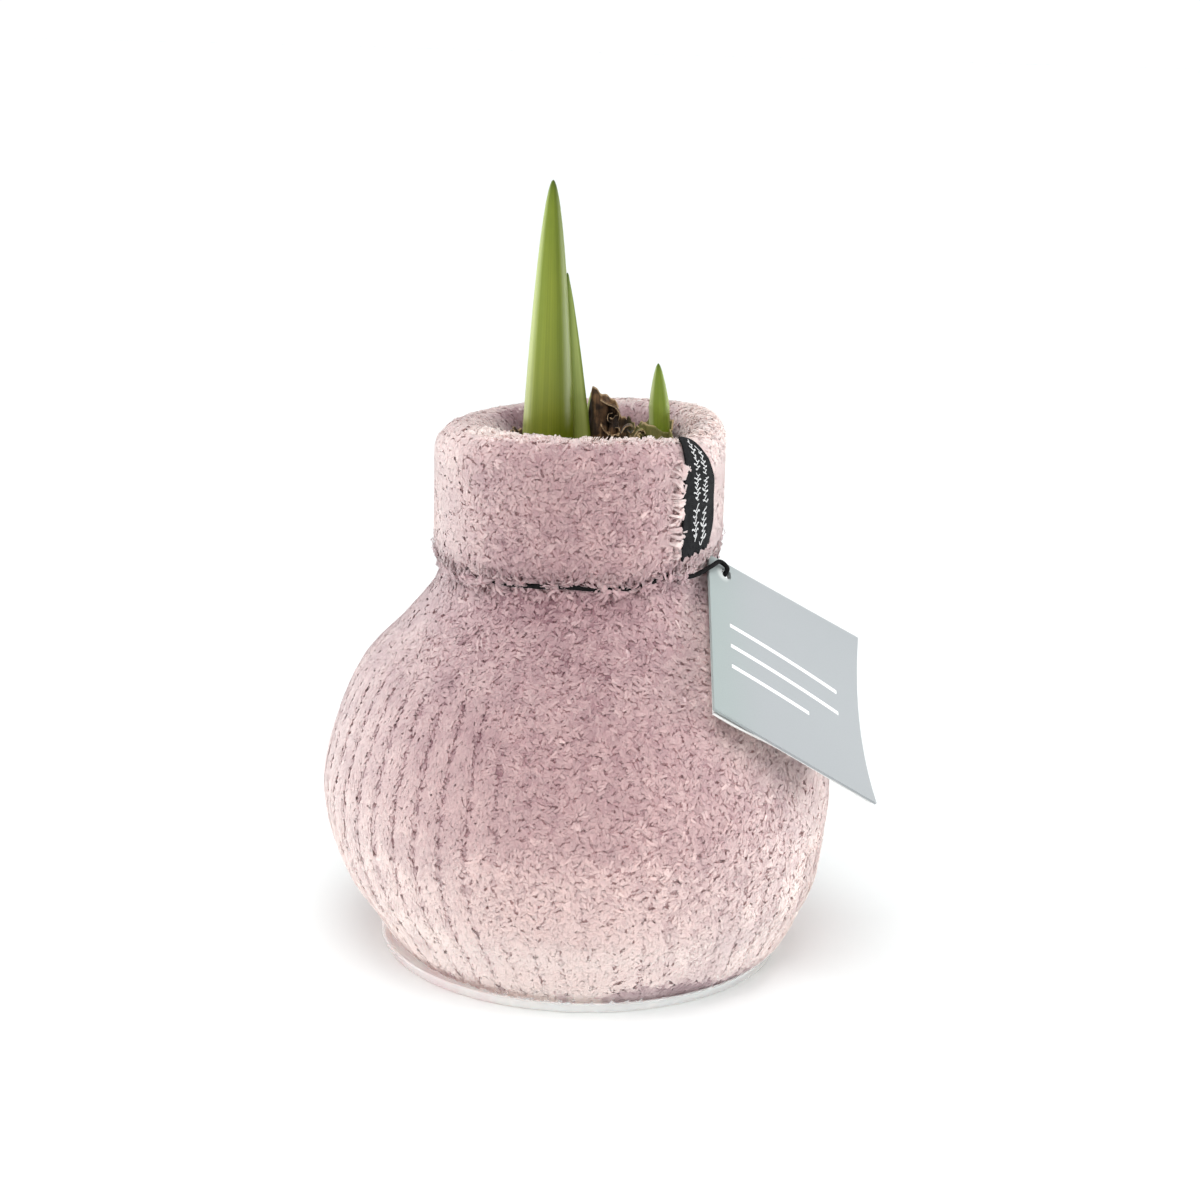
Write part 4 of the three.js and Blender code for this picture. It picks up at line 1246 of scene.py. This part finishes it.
def drip_tray(material):
    """The saucer, from the middle of its underside out, over its rolled rim and back over its floor."""
    floor, rim, height, wall = TRAY_FLOOR, TRAY_RIM, TRAY_HEIGHT, TRAY_WALL
    outline = np.array([
        (0.5, 0), (floor - 1, 0), (floor, 0.05), (floor + 0.6, 0.3), (rim - 0.25, height - 0.6),
        (rim, height - 0.25), (rim - 0.1, height - 0.05), (rim - 0.35, height), (rim - 0.65, height - 0.1),
        (rim - 1.1, height - 0.55), (floor - 0.35, wall + 0.45), (floor - 1.2, wall + 0.08),
        (floor - 2.2, wall), (30.2, wall), (29.8, wall + 0.2), (29.4, wall), (0.5, wall)])
    points = polar(outline[:, :1], full_turn(TRAY_SEGMENTS), outline[:, 1:])
    points[..., :2] += TRAY_CENTRE
    faces = round_grid(len(outline), TRAY_SEGMENTS)
    piece = make_piece("tray_clear", points, faces, material)
    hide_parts("drip_tray")


# ---- camera, floor and light ----

LENS_PLACE = (0.004, -0.5, 0.206)
LENS_PITCH = math.radians(90 - 14.6)
LENS_ROLL = math.radians(1.5)
FOCAL_PX = 2412
FRAME_PX = 1200
SENSOR = 36.0

FLOOR_COLOUR = (0.76, 0.795, 0.795)
FLOOR_HALF = 6.0
FLOOR_GLOW = 0.03
FLOOR_BOUNCE = 0.36
ROOM_FRONT = 0.35
ROOM_BACK = 1.15
ROOM_TOP = 0.38
ROOM_SEEN = 1.05
SKY_LIGHT = 2.5
SKY_FROM = (-0.06, -0.48, 1.0)
SKY_SPREAD = math.radians(40)
SOFTBOXES = (("left", (-0.9, 0.05, 0.09), 3.1), ("right", (0.85, -0.1, 0.09), 3.9))
SOFTBOX_SIZE = (0.8, 0.15)
SOFTBOX_AIM = Vector((0, 0, 0.05))


def put(name, data):
    thing = bpy.data.objects.new(name, data)
    bpy.context.scene.collection.objects.link(thing)
    return thing


def camera():
    """The photograph's view: from above in front, pitched down and a little rolled."""
    data = bpy.data.cameras.new("camera")
    data.sensor_width = SENSOR
    data.lens = SENSOR * FOCAL_PX / FRAME_PX
    data.clip_start, data.clip_end = 0.05, 50
    eye = put("camera", data)
    pitch = Matrix.Rotation(LENS_PITCH, 4, "X")
    roll = Matrix.Rotation(LENS_ROLL, 4, "Z")
    eye.matrix_world = Matrix.Translation(LENS_PLACE) @ pitch @ roll
    bpy.context.scene.camera = eye


def floor():
    """A plain pale floor that gives a little light of its own back to the part."""
    paint = Paint("floor_white", 0.9, specular=0.1)
    seen = paint.add("LightPath").outputs["Is Camera Ray"]
    glow = paint.add("Mix", {0: seen, 2: FLOOR_BOUNCE, 3: FLOOR_GLOW}).outputs[0]
    paint.set({"Base Color": FLOOR_COLOUR, "Emission Color": (1, 1, 1), "Emission Strength": glow})
    mesh = bpy.data.meshes.new("floor")
    corners = [(x * FLOOR_HALF, y * FLOOR_HALF, 0) for x, y in ((-1, -1), (1, -1), (1, 1), (-1, 1))]
    mesh.from_pydata(corners, [], [(0, 1, 2, 3)])
    mesh.materials.append(paint.material)
    ground = put("floor", mesh)


def room():
    """A white room that is dimmer on the camera's side and overhead, and white where it is seen."""
    world = bpy.data.worlds.new("studio")
    tree = Tree(world)
    parts = tree.add("SeparateXYZ", {0: tree.add("TexCoord").outputs["Generated"]})
    depth = tree.span(parts.outputs["Y"], -0.9, 0.2, ROOM_FRONT, ROOM_BACK, kind="SMOOTHSTEP")
    rise = tree.span(parts.outputs["Z"], 0.2, 1, 1, ROOM_TOP)
    light = tree.maths("MULTIPLY", depth, rise)
    seen = tree.add("LightPath").outputs["Is Camera Ray"]
    strength = tree.add("Mix", {0: seen, 2: light, 3: ROOM_SEEN}).outputs[0]
    tree.fill(tree.nodes["Background"], {"Color": (1, 1, 1), "Strength": strength})
    bpy.context.scene.world = world


def lights():
    """One very soft light from above the camera's side, and a long low softbox at each side."""
    sky = bpy.data.lights.new("sky", "SUN")
    sky.energy = SKY_LIGHT
    sky.angle = SKY_SPREAD
    put("sky", sky).matrix_world = Vector(SKY_FROM).to_track_quat("Z", "Y").to_matrix().to_4x4()
    for name, place, power in SOFTBOXES:
        data = bpy.data.lights.new(name, "AREA")
        data.shape = "RECTANGLE"
        data.size, data.size_y = SOFTBOX_SIZE
        data.energy = power
        turn = (SOFTBOX_AIM - Vector(place)).to_track_quat("-Z", "Y").to_matrix().to_4x4()
        put(name, data).matrix_world = Matrix.Translation(place) @ turn


camera()
floor()
room()
lights()
view = bpy.context.scene.view_settings
view.view_transform = "Standard"
view.look = "None"

skin = Skin()
knit_backing(skin, backing_material())
pile(skin, pile_material())
leaves()
bulb(scale_material())
woven_label(label_material(), thread_material())
hang_tag(card_material(), card_paper_material())
tag_cord(cord_material())
drip_tray(tray_material())
